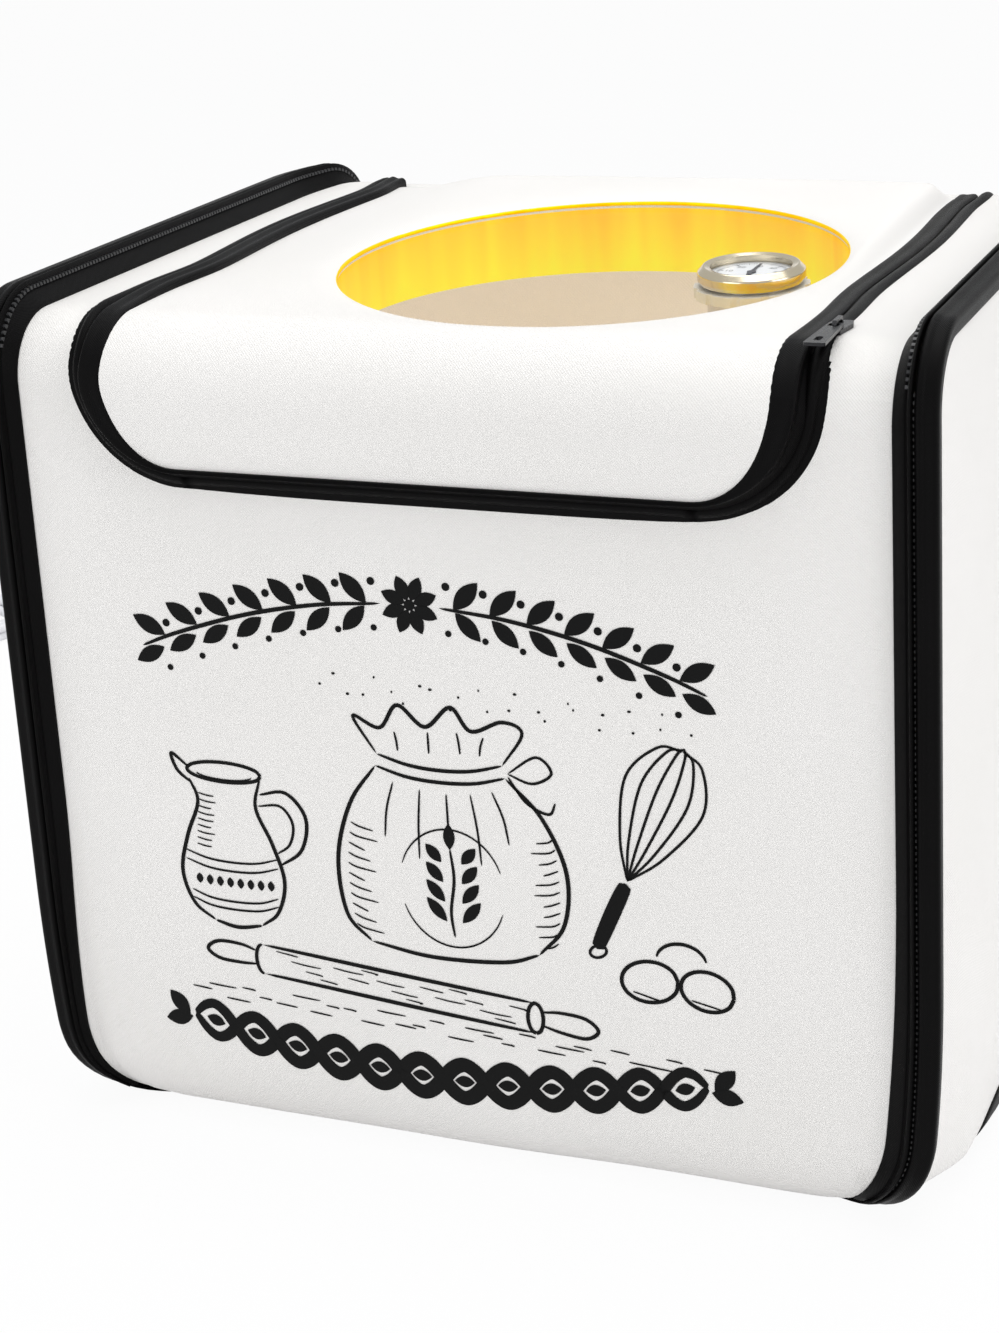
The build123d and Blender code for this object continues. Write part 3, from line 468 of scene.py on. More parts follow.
# Front pad: from the doorway's round foot down the front and under the box.
foot_half = door_half - door_corner
side_count, foot_count = 110, 70


def door_foot_line(turn, x):
    """Point of the doorway's foot: a turn round a corner's middle at x, no higher than the split."""
    return x - door_corner * np.cos(turn), np.minimum(door_foot + door_corner * (1 - np.sin(turn)), split)


left_arc = np.stack(door_foot_line(np.linspace(0, pi / 2, side_count, endpoint=False), -foot_half), -1)
foot_line = np.linspace((-foot_half, door_foot), (foot_half, door_foot), foot_count)
front_inner = np.concatenate([left_arc, foot_line, left_arc[::-1] * (-1, 1)])
wall_half, floor_half = 0.1785, 0.1815
floor_seam, back_seam = 0.085, 0.95


def sleeve_edge(s):
    """Half width of a pad: under the zip band on the walls, full below them."""
    return wall_half + (floor_half - wall_half) * (1 - soft_step((s - 0.135) / 0.02)) * (s < 0.6)


hem_s = np.linspace(split, floor_seam, side_count, endpoint=False)
hem = np.stack([-sleeve_edge(hem_s), hem_s], -1)
front_outer = np.concatenate([
    hem, np.linspace((-floor_half, floor_seam), (floor_half, floor_seam), foot_count), hem[::-1] * (-1, 1)
])
front_pad = sleeve_pad("front_pad", between(front_inner, front_outer, 64))
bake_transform(front_pad)
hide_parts("front_cover", "front_foam", "front_lining")

# Top pad: both sides of the lid, the strip behind it, and the upper half of the back.
top_inner, top_outer = (
    np.concatenate([
        np.linspace((-half, split), (-half, rear), 120, endpoint=False),
        np.linspace((-half, rear), (half, rear), 60, endpoint=False),
        np.linspace((half, rear), (half, split), 121),
    ])
    for half, rear in ((door_half, door_rear), (wall_half, back_seam))
)
top_pad = sleeve_pad("top_pad", between(top_inner, top_outer, 48))
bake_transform(top_pad)
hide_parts("top_cover", "top_foam", "top_lining")

# Back pad: the lower half of the back, the rear upstand and the rest of the base.
back_s = np.linspace(back_seam, walls[-1] + floor_seam, 110)
edge = wall_half + (floor_half - wall_half) * soft_step((back_s - 1.0865) / 0.01)
back_plan = between(np.stack([-edge, back_s], -1), np.stack([edge, back_s], -1), 70)
back_pad = sleeve_pad("back_pad", back_plan)
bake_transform(back_pad)
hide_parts("back_cover", "back_foam", "back_lining", "base_cover", "base_foam", "base_lining")

# ------------------------------------------------------------------ lid and apron
# One padded flap of the same fabric: the lid, rising a little to its rear, rolls over
# the front edge into the apron, and a round window is cut through it.
window = (0.0205, 0.1756, 0.103)
flap_half, flap_end, flap_corner = 0.1417, 0.3373, 0.040
roll_radius, roll_start, roll_end = 0.028, 0.0267, 0.0710
roll_y, apron_z, lid_slope = -0.1366, 0.2863, 0.035


def flap(x, l, rise):
    """Point at x and a length l up the apron's face, round the roll and along the top; the top
    swells to its rear, between soft shoulders."""
    roll = np.clip((l - roll_start) / roll_radius, 0, pi / 2)
    y = roll_y - (roll_radius + rise) * np.cos(roll) + np.maximum(l - roll_end, 0)
    z = apron_z + np.minimum(l, roll_start) + (roll_radius + rise) * np.sin(roll)
    swell = lid_slope * np.maximum(y - roll_y, 0) * soft_step((0.1290 - y) / 0.020)
    swell *= soft_step((0.1345 - x) / 0.010) * soft_step((x + 0.1330) / 0.060)
    return np.stack(np.broadcast_arrays(x, y, z + swell), axis=-1)


def flap_inside(x, l):
    """Point of the flap's lining: up behind the apron, then along under the lid."""
    inner = np.interp(l, [0, roll_start, roll_end, flap_end], [0, roll_start, 0.0361, 0.3024])
    y = -0.142 + np.maximum(inner - 0.0307, 0)
    z = apron_z + np.minimum(inner, 0.0307)
    return np.stack(np.broadcast_arrays(x, y, z), axis=-1)


def rim_line(inset, rounds=24, runs=80, middle=50):
    """Edge of the flap from its left rear corner round the apron's foot to its right rear
    corner: straight sides, two round corners and the foot."""
    inset = np.broadcast_to(inset, (2 * runs + 2 * rounds + middle,))
    bend = np.linspace(0, pi / 2, rounds, endpoint=False)
    turn = np.concatenate([np.zeros(runs), bend, np.full(middle, pi / 2), pi - bend[::-1], np.full(runs, pi)])
    inner = flap_half - flap_corner
    ends = np.full(runs + rounds, inner)
    centre_x = np.concatenate([-ends, np.linspace(-inner, inner, middle), ends])
    side = np.linspace(flap_end, flap_corner + 0.0005, runs)
    centre_l = np.concatenate([side, np.full(2 * rounds + middle, flap_corner), side[::-1]])
    reach = flap_corner - inset
    return np.stack([centre_x - reach * np.cos(turn), centre_l - reach * np.sin(turn)], -1)


rear_edge = np.linspace((flap_half, flap_end), (-flap_half, flap_end), 62)[1:-1]
outline = np.concatenate([rim_line(0.0), rear_edge])
toward = outline - window[:2]
toward /= np.linalg.norm(toward, axis=1)[:, None]
flap_plan = between(np.array(window[:2]) + window[2] * toward, outline, 64)
fx, fl = flap_plan[..., 0], flap_plan[..., 1]
window_gap = np.hypot(fx - window[0], fl - window[1]) - window[2]
rim_gap = np.minimum(np.minimum(flap_half - np.abs(fx), flap_end - fl), fl)
past_x, past_l = np.abs(fx) - (flap_half - flap_corner), flap_corner - fl
rim_gap = np.where((past_x > 0) & (past_l > 0), flap_corner - np.hypot(past_x, past_l), rim_gap)
flap_puff = 0.0022 * (1 - np.exp(-rim_gap / 0.010)) * (1 - np.exp(-window_gap / 0.005))
waves = 0.0008 * slack(fx + 0.3, fl)
flap_puff += waves * (1 - np.exp(-rim_gap / 0.02)) * (1 - np.exp(-window_gap / 0.03))
flap_puff[:, 0] = -0.0012
clear = 1 + 0.0024 / np.linalg.norm(flap_plan - window[:2], axis=-1)
clear = np.where(window_gap < 0.0024, clear, 1)[..., None]
lining_plan = window[:2] + (flap_plan - window[:2]) * clear
flap_lining = flap_inside(lining_plan[..., 0], lining_plan[..., 1])
flap_mesh = pad_mesh("flap_pad", flap(fx, fl, flap_puff), flap_lining, flap_plan, closed=True)
flap_pad = stand("flap_pad", flap_mesh, white_cloth, cream_lining)
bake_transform(flap_pad)
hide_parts("lid_cover", "lid_foam", "lid_lining", "apron_cover", "apron_foam", "apron_lining")

# ------------------------------------------------------------------ lid zip
# Black coated tape on both edges of the doorway. The fixed half carries a raised fold
# over the teeth; the flap's half also covers the apron's side.
black_tape = finish(
    "black_tape", (0.0030, 0.0028, 0.0030), (0.0012, 0.0010, 0.0010), 0.38, 7000.0, 0.0001, 30.0,
    woven=True, Specular_IOR_Level=0.06,
)


def band_mesh(name, points, lengths, widths):
    """Closed strip: a closed profile carried along a path, with both ends capped."""
    rows, columns = points.shape[:2]
    index = np.arange(rows * columns).reshape(rows, columns)
    index = np.hstack([index, index[:, :1]])
    quads = quad_grid(index).reshape(-1, 4)
    corners = points.reshape(-1, 3)[quads]
    centre = points.mean(axis=1)[np.arange(len(quads)) // columns]
    normal = np.cross(corners[:, 1] - corners[:, 0], corners[:, 2] - corners[:, 0])
    near_cap = rows * columns + np.arange(columns)
    faces = quads.tolist() + [near_cap[::-1].tolist(), (near_cap + columns).tolist()]
    if np.einsum("ij,ij->", normal, corners.mean(axis=1) - centre) < 0:
        faces = [face[::-1] for face in faces]
    everything = np.concatenate([points, points[:1], points[-1:]]).reshape(-1, 3)
    mesh = bpy.data.meshes.new(name)
    mesh.from_pydata(everything.tolist(), [], faces)
    mesh.shade_smooth()
    flat = np.stack(np.broadcast_arrays(lengths[:, None], widths[None, :]), -1)
    map_cloth(mesh, np.concatenate([flat, flat[:1], flat[-1:]]).reshape(-1, 2))
    return mesh


def lengths_along(line):
    """Length along a line of points up to each of them."""
    return np.append(0, np.cumsum(np.linalg.norm(np.diff(line, axis=0), axis=-1)))


def smooth_line(knots, count):
    """Catmull-Rom curve through a list of knots, sampled evenly in its parameter."""
    knots = np.asarray(knots, float)
    ends = np.vstack([2 * knots[:1] - knots[1:2], knots, 2 * knots[-1:] - knots[-2:-1]])
    place = np.linspace(0, len(knots) - 1, count)
    leg = np.minimum(place.astype(int), len(knots) - 2)
    t = (place - leg)[:, None]
    a, b, c, d = ends[leg], ends[leg + 1], ends[leg + 2], ends[leg + 3]
    return 0.5 * (2 * b + (c - a) * t + (2 * a - 5 * b + 4 * c - d) * t**2 + (3 * b - a - 3 * c + d) * t**3)


def wander(points):
    """Sideways sway of the zip along the top, the same on both of its halves."""
    y, lifted = points[..., 1], soft_step((points[..., 2] - 0.325) / 0.012)
    sway = np.where(points[..., 0] > 0, 0.0018, 0.0030) * np.sin((y + 0.03) / 0.034)
    sway *= soft_step((y + 0.105) / 0.05) * soft_step((0.125 - y) / 0.03)
    points[..., 0] += np.sign(points[..., 0]) * sway * lifted
    return points


flap_profile = smooth_line(
    [(8.4, 0.1), (8.2, 1.2), (6.6, 1.7), (4.4, 1.6), (2.2, 1.9), (0.7, 1.8), (-0.1, 0.9), (-0.2, -1.2),
     (-1.6, -3.2), (-3.4, -5.4), (-3.4, -6.4), (0.0, -9.0), (0.8, -9.4), (1.2, -5.0), (1.4, -1.5),
     (4.5, -0.6), (8.0, -0.6)], 50
) / 1000

# The tape is narrow round the apron's foot, its hem flares there, and it stands proud at the left.
rim_l = rim_line(0.0)[:, 1]
rim_middle = (np.arange(len(rim_l)) - (len(rim_l) - 1) / 2) / len(rim_l) * 2
narrow = 1 - 0.80 * soft_step((0.34 - np.abs(rim_middle)) / 0.14)
narrow += 0.25 * np.exp(-((rim_l - 0.055) / 0.03) ** 2)
flare = 1 - soft_step((rim_l - 0.050) / 0.025)
proud = 1 + 1.6 * soft_step((-rim_middle - 0.38) / 0.15)
tape_points = np.stack([
    flap(
        *rim_line(inset * narrow if inset > 0 else -0.0002 + (inset + 0.0002) * flare).T,
        rise * proud if rise > 0 else rise,
    )
    for inset, rise in flap_profile
], axis=1)
rim_lengths = lengths_along(tape_points[:, 0])
flap_band = band_mesh("flap_tape", wander(tape_points), rim_lengths, lengths_along(flap_profile))
flap_tape = stand("flap_tape", flap_band, black_tape)
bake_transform(flap_tape)
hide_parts("lid_zip_tape", "apron_zip_tape")

fixed_profile = smooth_line(
    [(0.1, -2.5), (0.1, 0.8), (0.9, 2.6), (2.2, 3.7), (3.8, 3.9), (5.2, 3.0), (6.0, 1.7), (6.9, 1.3),
     (8.2, 1.3), (9.0, 1.0), (9.3, 0.1), (8.6, -0.5), (5.0, -0.8), (1.0, -0.9)], 40
) / 1000
fixed_widths = lengths_along(fixed_profile)


def fixed_tape(name, x, s, out_x, out_s):
    """Strip on the sleeve along a line of the doorway's edge and its outward direction; it lies
    lower on the right of the top, under the slider's pull."""
    low = 1 - 0.38 * soft_step((s - split) / 0.03) * (x > 0)
    points = np.stack(
        [sleeve(x + out * out_x, s + out * out_s, rise * low) for out, rise in fixed_profile], axis=1
    )
    lengths = lengths_along(points[:, 0])
    return stand(name, band_mesh(name, wander(points), lengths, fixed_widths), black_tape)


sides = (("left", -1), ("right", 1))
run_s = np.linspace(split, door_rear + 0.004, 90)
run_x = np.full(90, door_half)
for side_name, side in sides:
    tape = fixed_tape(f"{side_name}_top_tape", side * run_x, run_s, side, 0.0)
    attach(tape, "top")
    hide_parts("top_zip_tape")
foot_turn = np.concatenate([np.linspace(0, pi / 2, 30), np.full(50, pi / 2), np.linspace(pi / 2, pi, 30)])
foot_ends = np.full(30, foot_half)
foot_x = np.concatenate([-foot_ends, np.linspace(-foot_half, foot_half, 50), foot_ends])
foot_outward = -np.cos(foot_turn), -np.sin(foot_turn)
front_tape = fixed_tape("front_tape", *door_foot_line(foot_turn, foot_x), *foot_outward)
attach(front_tape, "front_wall")
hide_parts("front_zip_tape")

# ------------------------------------------------------------------ side zips
# Black bands sewn to both ends of the sleeve rise to a piped edge; the teeth lie in
# the groove between them and the bound rim of each side panel.
band_profile = smooth_line(
    [(0.0, 0.0, 0.1), (0.3, 0.02, 1.0), (2.5, 0.17, 1.2), (6.0, 0.42, 1.3), (8.4, 0.60, 1.1),
     (9.6, 0.69, 0.5), (10.4, 0.76, 0.9), (11.3, 0.83, 1.9), (12.4, 0.90, 2.2), (13.5, 0.97, 1.2),
     (14.0, 1.0, -0.6), (14.0, 1.0, -3.0), (14.0, 0.4, -1.5), (8.0, 0.0, -0.5), (1.0, 0.0, -0.6)], 56
)
band_profile[:, [0, 2]] /= 1000
band_wide, groove_x, rear_groove_x = 0.014, 0.1817, 0.1795
band_widths = lengths_along(band_profile[:, [0, 2]])
tooth_points = np.array(
    [(-1.3, -1, -0.8), (1.3, -1, -0.8), (1.3, 1, -0.8), (-1.3, 1, -0.8),
     (-1.0, -0.6, 0.5), (1.0, -0.6, 0.5), (1.0, 0.6, 0.5), (-1.0, 0.6, 0.5)]
)
tooth_faces = np.array([(0, 3, 2, 1), (4, 5, 6, 7), (0, 1, 5, 4), (1, 2, 6, 5), (2, 3, 7, 6), (3, 0, 4, 7)])
tooth_nylon = finish("tooth_nylon", (0.02, 0.02, 0.022), (0.012, 0.012, 0.013), 0.3, 1500.0)


def teeth(name, side, first, last):
    """Row of small wedge-shaped teeth in the groove beside a band."""
    places = np.arange(first, last, 0.0024)
    s = places[:, None] + tooth_points[None, :, 1] * 0.0009
    x = side * ((groove_x if last < 0.6 else rear_groove_x) + tooth_points[None, :, 0] * 0.001)
    points = sleeve(x, s, -0.0012 + tooth_points[None, :, 2] * 0.001, 1.0)
    faces = (np.arange(len(places)) * 8)[:, None, None] + tooth_faces[:, :: side][None]
    mesh = bpy.data.meshes.new(name)
    mesh.from_pydata(points.reshape(-1, 3).tolist(), [], faces.reshape(-1, 4).tolist())
    return stand(name, mesh, tooth_nylon)


for side_name, side in sides:
    for place, first, last, bodies, start, end, nodes in (
        ("front", 0.1510, split, ("front_wall", "base"), (0, -0.156, 0.026), (0, -0.130, 0.0),
         ("front_side_bands",)),
        ("rear", split, 1.0863, ("top", "back_wall"), (0, 0.130, 0.341), (0, 0.156, 0.315),
         ("top_side_bands", "back_side_bands")),
    ):
        s = np.linspace(first, last, int((last - first) / 0.0028))
        towards_floor = soft_step((0.29 - s) / 0.14) * (s < 0.5)
        reach = 0.57 + (0.22 if side > 0 else -0.36) * towards_floor
        points = np.stack([
            sleeve(side * (groove_x - (band_wide - out) * reach), s, rise, share)
            for out, share, rise in band_profile
        ], axis=1)
        name = f"{side_name}_{place}_band"
        band = stand(name, band_mesh(name, points, s, band_widths), black_tape)
        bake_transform(band)
        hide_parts(*nodes)
        row = teeth(f"{side_name}_{place}_teeth", side, first, last)
        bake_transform(row)

# ------------------------------------------------------------------ side panels
# A foam board between white fabric and lining, its edge wrapped in the same black
# band with a piped edge on both sides.
binding_profile = smooth_line(
    [(182.1, -6.0), (182.1, -2.0), (182.3, 0.0), (183.5, 1.3), (184.9, 1.1), (186.0, 0.5), (187.6, 0.4),
     (189.2, 0.3), (190.4, -0.3), (190.9, -1.6), (190.8, -3.2), (190.7, -5.0), (190.2, -6.6),
     (188.0, -6.9), (184.0, -6.9)], 48
) / 1000
binding_widths = lengths_along(binding_profile)


def panel_patch(u, v, inset):
    """Height and depth over a panel's rounded outline: v runs up it, round its corners by
    angle, and u across the width that the outline has there."""
    half, top, corner = 0.160 - inset, 0.350 - inset, 0.030 - inset
    bend = np.clip(np.abs(v) * 3 - 2, 0, 1) * pi / 2
    middle = np.clip(v * 3 / 2, -1, 1)
    z = (top + inset) / 2 + middle * ((top - inset) / 2 - corner) + np.sign(v) * corner * np.sin(bend)
    return u * (half - corner + corner * np.cos(bend)), z


for side_name, side in sides:
    loop_s = np.linspace(0, walls[-1], 420, endpoint=False)
    points = np.stack([sleeve(side * x, loop_s, rise, 1.0) for x, rise in binding_profile], axis=1)
    mesh = grid_mesh(f"{side_name}_binding", points, closed_rows=True, closed_columns=True)
    if side < 0:
        mesh.flip_normals()
    flat = np.stack(np.broadcast_arrays(loop_s[:, None], binding_widths[None, :]), -1)
    map_cloth(mesh, flat.reshape(-1, 2))
    binding = stand(f"{side_name}_binding", mesh, black_tape)
    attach(binding, f"{side_name}_panel")
    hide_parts(f"{side_name}_panel_binding")

    v, u = np.meshgrid(np.linspace(-1, 1, 90), np.linspace(-1, 1, 80), indexing="ij")
    y, z = panel_patch(u, v, 0.0058)
    gap = np.minimum(0.1542 - np.abs(y), 0.1692 - np.abs(z - 0.175))
    puff = 0.0030 * (1 - np.exp(-np.maximum(gap, 0) / 0.012))
    puff += 0.0012 * slack(y + 0.4 * side, z) * (1 - np.exp(-np.maximum(gap, 0) / 0.03))
    outside = drawn_in(np.stack([side * (0.1893 + puff), y, z], -1))
    inside = drawn_in(np.stack([np.full_like(y, side * 0.1822), y, z], -1))
    name = f"{side_name}_panel_pad"
    mesh = pad_mesh(name, outside, inside, np.stack([y, z], -1))
    panel = stand(name, mesh, white_cloth, cream_lining)
    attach(panel, f"{side_name}_panel")
    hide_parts(*[f"{side_name}_panel_{ply}" for ply in ("cover", "foam", "lining")])

# ------------------------------------------------------------------ window
# Clear film welded into the lid, over a well whose wall is faced with gold foil.
clear_film, shader, link, add = new_material("clear_film")
# Painted reflection: the film's grey colour shows more towards glancing views, by a Fresnel weight on its
# alpha, in place of a reflection; face-on it stays nearly clear.
tune(shader, Base_Color=(0.30, 0.31, 0.32, 1), Roughness=0.06)
painted_edge_reflection = add("ShaderNodeLayerWeight", Blend=0.25)
cover = add("ShaderNodeMapRange", To_Min=0.01, To_Max=0.10)
link(painted_edge_reflection.outputs["Fresnel"], cover.inputs["Value"])
link(cover.outputs["Result"], shader.inputs["Alpha"])
dress(clear_film, "window_film")

gold_foil, shader, link, add = new_material("gold_foil")
place = add("ShaderNodeTexCoord")
stretch = add("ShaderNodeMapping", Scale=(60, 60, 3))
link(place.outputs["Object"], stretch.inputs["Vector"])
streaks = add("ShaderNodeTexNoise", Scale=1.0, Detail=3.0)
link(stretch.outputs["Vector"], streaks.inputs["Vector"])
height = add("ShaderNodeSeparateXYZ")
link(place.outputs["Object"], height.inputs["Vector"])
# Painted shade: the foil's colour turns darker and more orange towards the top of the well.
climb = add("ShaderNodeMapRange", From_Min=0.312, From_Max=0.342, To_Min=-0.25, To_Max=0.25)
link(height.outputs["Z"], climb.inputs["Value"])
tone = add("ShaderNodeMath", operation="ADD")
link(streaks.outputs["Fac"], tone.inputs[0])
link(climb.outputs["Result"], tone.inputs[1])
ramp = add("ShaderNodeValToRGB")
for stop, position, colour in zip(
    ramp.color_ramp.elements, (0.30, 0.85), ((0.95, 0.86, 0.01, 1), (0.98, 0.56, 0.0, 1))
):
    stop.position, stop.color = position, colour
link(tone.outputs["Value"], ramp.inputs["Fac"])
link(ramp.outputs["Color"], shader.inputs["Base Color"])
# Painted light: the foil also glows in its own colour, though it is no lamp.
link(ramp.outputs["Color"], shader.inputs["Emission Color"])
tune(shader, Emission_Strength=0.24, Metallic=0.5, Specular_IOR_Level=0.1, Roughness=0.45)
crinkle = add("ShaderNodeBump", Strength=0.4, Distance=0.001)
link(streaks.outputs["Fac"], crinkle.inputs["Height"])
link(crinkle.outputs["Normal"], shader.inputs["Normal"])
dress(gold_foil, "window_reveal")

# The foil turns up over the film's hem to the fabric's edge, on the lid's slope.
turn = np.linspace(0, 2 * pi, 180, endpoint=False)[:, None]
foil_radius, foil_height = np.array([
    (0.1027, -0.0016), (0.1027, -0.0002), (0.1032, 0.0), (0.1036, -0.0003), (0.1036, -0.0016)
]).T
lid_height = 0.341 + lid_slope * (window[1] - roll_end)
foil_x, foil_y = foil_radius * np.cos(turn), foil_radius * np.sin(turn)
foil_z = lid_height + lid_slope * foil_y + foil_height
foil_points = np.stack([window[0] + foil_x, foil_y - 0.0320, foil_z], axis=-1)
foil_mesh = grid_mesh("foil_edge", foil_points, closed_rows=True, closed_columns=True)
foil_edge = stand("foil_edge", foil_mesh, gold_foil)
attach(foil_edge, "lid")

# ------------------------------------------------------------------ thermometer
# Round dial thermometer through the film: steel cup and bezel, a white printed dial
# under a lens, a dark needle turned by a bimetal spiral, and a plastic nut below.
gauge_axis = Vector((0, -0.035, 0.9994)).normalized()
gauge_place = (
    Matrix.Translation((0.093034, -0.051773, 0.342268))
    @ Matrix(((1, 0, 0), tuple(gauge_axis.cross((1, 0, 0))), tuple(gauge_axis))).transposed().to_4x4()
)
steel = finish(
    "bright_steel", (0.80, 0.79, 0.76), (0.62, 0.60, 0.57), 0.22, 700.0, 0.00005, Metallic=1.0
)
dress(steel, "thermometer_cup", "plug_blades")
brassy = finish(
    "warm_bezel", (0.86, 0.78, 0.60), (0.66, 0.56, 0.40), 0.20, 700.0, 0.00005, Metallic=1.0
)
dress(brassy, "thermometer_bezel", "thermometer_spiral")
dial_paint = finish("dial_paint", (0.90, 0.91, 0.92), (0.84, 0.86, 0.88), 0.4, 900.0, 0.00005)
dress(dial_paint, "thermometer_dial")
needle_paint = finish("needle_paint", (0.03, 0.035, 0.05), (0.02, 0.02, 0.03), 0.35)
dress(needle_paint, "thermometer_needle")

# The dial's scale: sixty steps over the needle's 240 degrees and a plain number at every
# tenth. Long ticks stand at the tens, middling ones at the fives.
dial_top, tick_end, number_radius = 0.00325, 0.0146, 0.0099
tick_points, tick_faces = [], []


def outward(number):
    """Direction from the dial's middle to a number of its scale."""
    bearing = radians(210 - 240 * number / 60)
    return np.array([cos(bearing), sin(bearing), 0])


for number in range(61):
    out = outward(number)
    rank = (number % 5 == 0) + (number % 10 == 0)
    start, half = (0.0133, 0.0128, 0.0122)[rank], (0.00012, 0.00018, 0.00026)[rank]
    across = half * np.array([-out[1], out[0], 0])
    first = len(tick_points)
    tick_points += [out * start - across, out * tick_end - across]
    tick_points += [out * tick_end + across, out * start + across]
    tick_faces.append([first, first + 1, first + 2, first + 3])
for number in range(0, 61, 10):
    letters = bpy.data.curves.new("number", "FONT")
    letters.body, letters.size, letters.align_x, letters.align_y = str(number), 0.0034, "CENTER", "CENTER"
    letters.resolution_u = 3
    holder = bpy.data.objects.new("number", letters)
    flat = bpy.data.meshes.new_from_object(holder)
    first = len(tick_points)
    tick_points += [np.array(v.co) + number_radius * outward(number) for v in flat.vertices]
    tick_faces += [[first + v for v in face.vertices] for face in flat.polygons]
    bpy.data.objects.remove(holder)
marks = bpy.data.meshes.new("dial_marks")
places = [gauge_place @ Vector((x, y, dial_top)) for x, y, _ in tick_points]
marks.from_pydata([tuple(place) for place in places], [], tick_faces)
dial_marks = stand("dial_marks", marks, needle_paint)
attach(dial_marks, "lid")
# The lens takes the film's painted reflection too.
dress(clear_film, "thermometer_lens")

# ------------------------------------------------------------------ small hardware
# Finishes of the nut, the zips' sliders and pulls, the silicone heating mat and the
# controller's display and buttons, whose shapes come from the frame.
nut_plastic = finish("nut_plastic", (0.86, 0.80, 0.68), (0.80, 0.74, 0.62), 0.4)
dress(nut_plastic, "thermometer_nut")
slider_enamel = finish(
    "slider_enamel", (0.02, 0.02, 0.022), (0.012, 0.012, 0.014), 0.25, Metallic=0.6
)
dress(slider_enamel, "lid_slider", "lid_slider_pull", "left_slider", "left_slider_pull",
      "right_slider", "right_slider_pull")
# The heating mat also carries the painted inner glow, a faint emission that stands in for light inside the
# box.
mat_silicone = finish(
    "mat_silicone", (0.92, 0.86, 0.76), (0.89, 0.82, 0.72), 0.5, 600.0, **painted_inner_glow
)
dress(mat_silicone, "heating_mat")
display_glass = finish("display_glass", (0.03, 0.05, 0.06), (0.02, 0.03, 0.035), 0.12)
dress(display_glass, "controller_window")
button_plastic = finish("button_plastic", (0.25, 0.26, 0.28), (0.20, 0.21, 0.23), 0.4)
dress(button_plastic, "power_button", "level_button")

# ------------------------------------------------------------------ front print
# Screen print in black ink: a kitchen still life of a flour sack, a milk jug, a whisk,
# eggs and a rolling pin, under a leafy garland and over a twisted border.
ink = finish(
    "print_ink", (0.004, 0.004, 0.004), (0.0015, 0.0015, 0.0015), 0.5, 1600.0, 0.00008,
    Specular_IOR_Level=0.12,
)
strokes = []


def pen(width, *knots, taper=0.25):
    """Pen stroke through knots: its width falls off to both ends, by a power of a circle's."""
    line = smooth_line(knots, 9 * len(knots))
    share = np.linspace(-1, 1, len(line))
    half = width / 2 * np.clip(1 - share**2, 0, 1) ** taper
    slope = np.gradient(line, axis=0)
    across = slope[:, ::-1] * (-1, 1) / np.maximum(np.linalg.norm(slope, axis=1), 1e-9)[:, None]
    strokes.append(np.stack([line + across * half[:, None], line - across * half[:, None]], axis=1))


def oval(x, z, wide, tall, first=0, last=360, width=1.3, tilt=0):
    """Pen stroke along part of an ellipse, turned by its tilt."""
    turn = np.radians(np.linspace(first, last, 13))
    along, over = wide * np.cos(turn), tall * np.sin(turn)
    sine, cosine = sin(radians(tilt)), cos(radians(tilt))
    ring = np.stack([x + along * cosine - over * sine, z + along * sine + over * cosine], -1)
    pen(width, *ring, taper=0.25 if last - first < 360 else 0.0)


def blot(x, z, long, wide, angle, taper=1.0):
    """Filled leaf, or a filled oval with a taper of a half, about its middle."""
    reach = np.array((cos(radians(angle)), sin(radians(angle)))) * long / 2
    middle = np.array((x, z))
    pen(wide, middle - reach, middle - reach / 3, middle + reach / 3, middle + reach, taper=taper)


# Garland: a bowed stem with pairs of leaves and berries, and a rosette in its middle.
stem_x, stem_z, droop = -12, 238, 0.0019
for end in (-1, 1):
    pen(1.8, *[(stem_x + end * x, stem_z - x * x * droop) for x in (12, 40, 70, 100, 117)])
    for number, x in enumerate((20, 35, 50, 65, 80, 95, 110)):
        z = stem_z - x * x * droop
        lean = -x * 0.22
        blot(stem_x + end * (x + 3.2), z + 6.0, 15.5, 7.0, 90 - end * (38 - lean))
        blot(stem_x + end * (x + 3.6), z - 6.2, 14.5, 6.4, 270 + end * (38 - lean))
        blot(stem_x + end * (x - 4.6), z + 9.6 - 0.02 * x, 3.2, 3.2, 0, 0.5)
        blot(stem_x + end * (x - 4.6), z - 9.0 - 0.02 * x, 2.6, 2.6, 0, 0.5)
for petal in range(8):
    turn = 45 * petal + 22.5
    blot(stem_x + 7.0 * cos(radians(turn)), stem_z + 7.0 * sin(radians(turn)), 10.5, 5.6, turn)
blot(stem_x, stem_z, 4.4, 4.4, 0, 0.5)

# Flour sack, tied at its neck, with a sprig on its front.
pen(1.8, (-31, 171), (-43, 154), (-50, 130), (-48, 106), (-38, 95))
pen(1.8, (-38, 95), (-12, 91.5), (18, 93), (33, 98))
pen(1.8, (33, 98), (44, 112), (46, 134), (37, 156), (23, 171))
pen(1.6, (-31, 171), (-18, 167.5), (-4, 166.5), (10, 167.5), (23, 171))
pen(1.6, (-30, 176), (-17, 172.5), (-4, 171.5), (9, 172.5), (22, 176))
pen(1.7, (-30, 176), (-39, 191), (-28, 187), (-20, 197), (-9, 189), (2, 198), (10, 189), (23, 194), (31, 190),
    (22, 176))
pen(1.2, (24, 173), (36, 181), (42, 175), (34, 170), (24, 173))
pen(1.2, (24, 172), (31, 162), (40, 158), (43, 163))
for x, z, reach, lean in (
    (-24, 165, 24, -5), (-13, 163, 30, -2), (-2, 162, 20, 0), (8, 163, 30, 3), (17, 165, 22, 6),
    (-22, 186, 8, 1), (-8, 187, 9, 0), (4, 188, 9, 1), (15, 187, 8, -2),
):
    pen(0.9, (x, z), (x + lean * 0.7, z - reach / 2), (x + lean, z - reach))
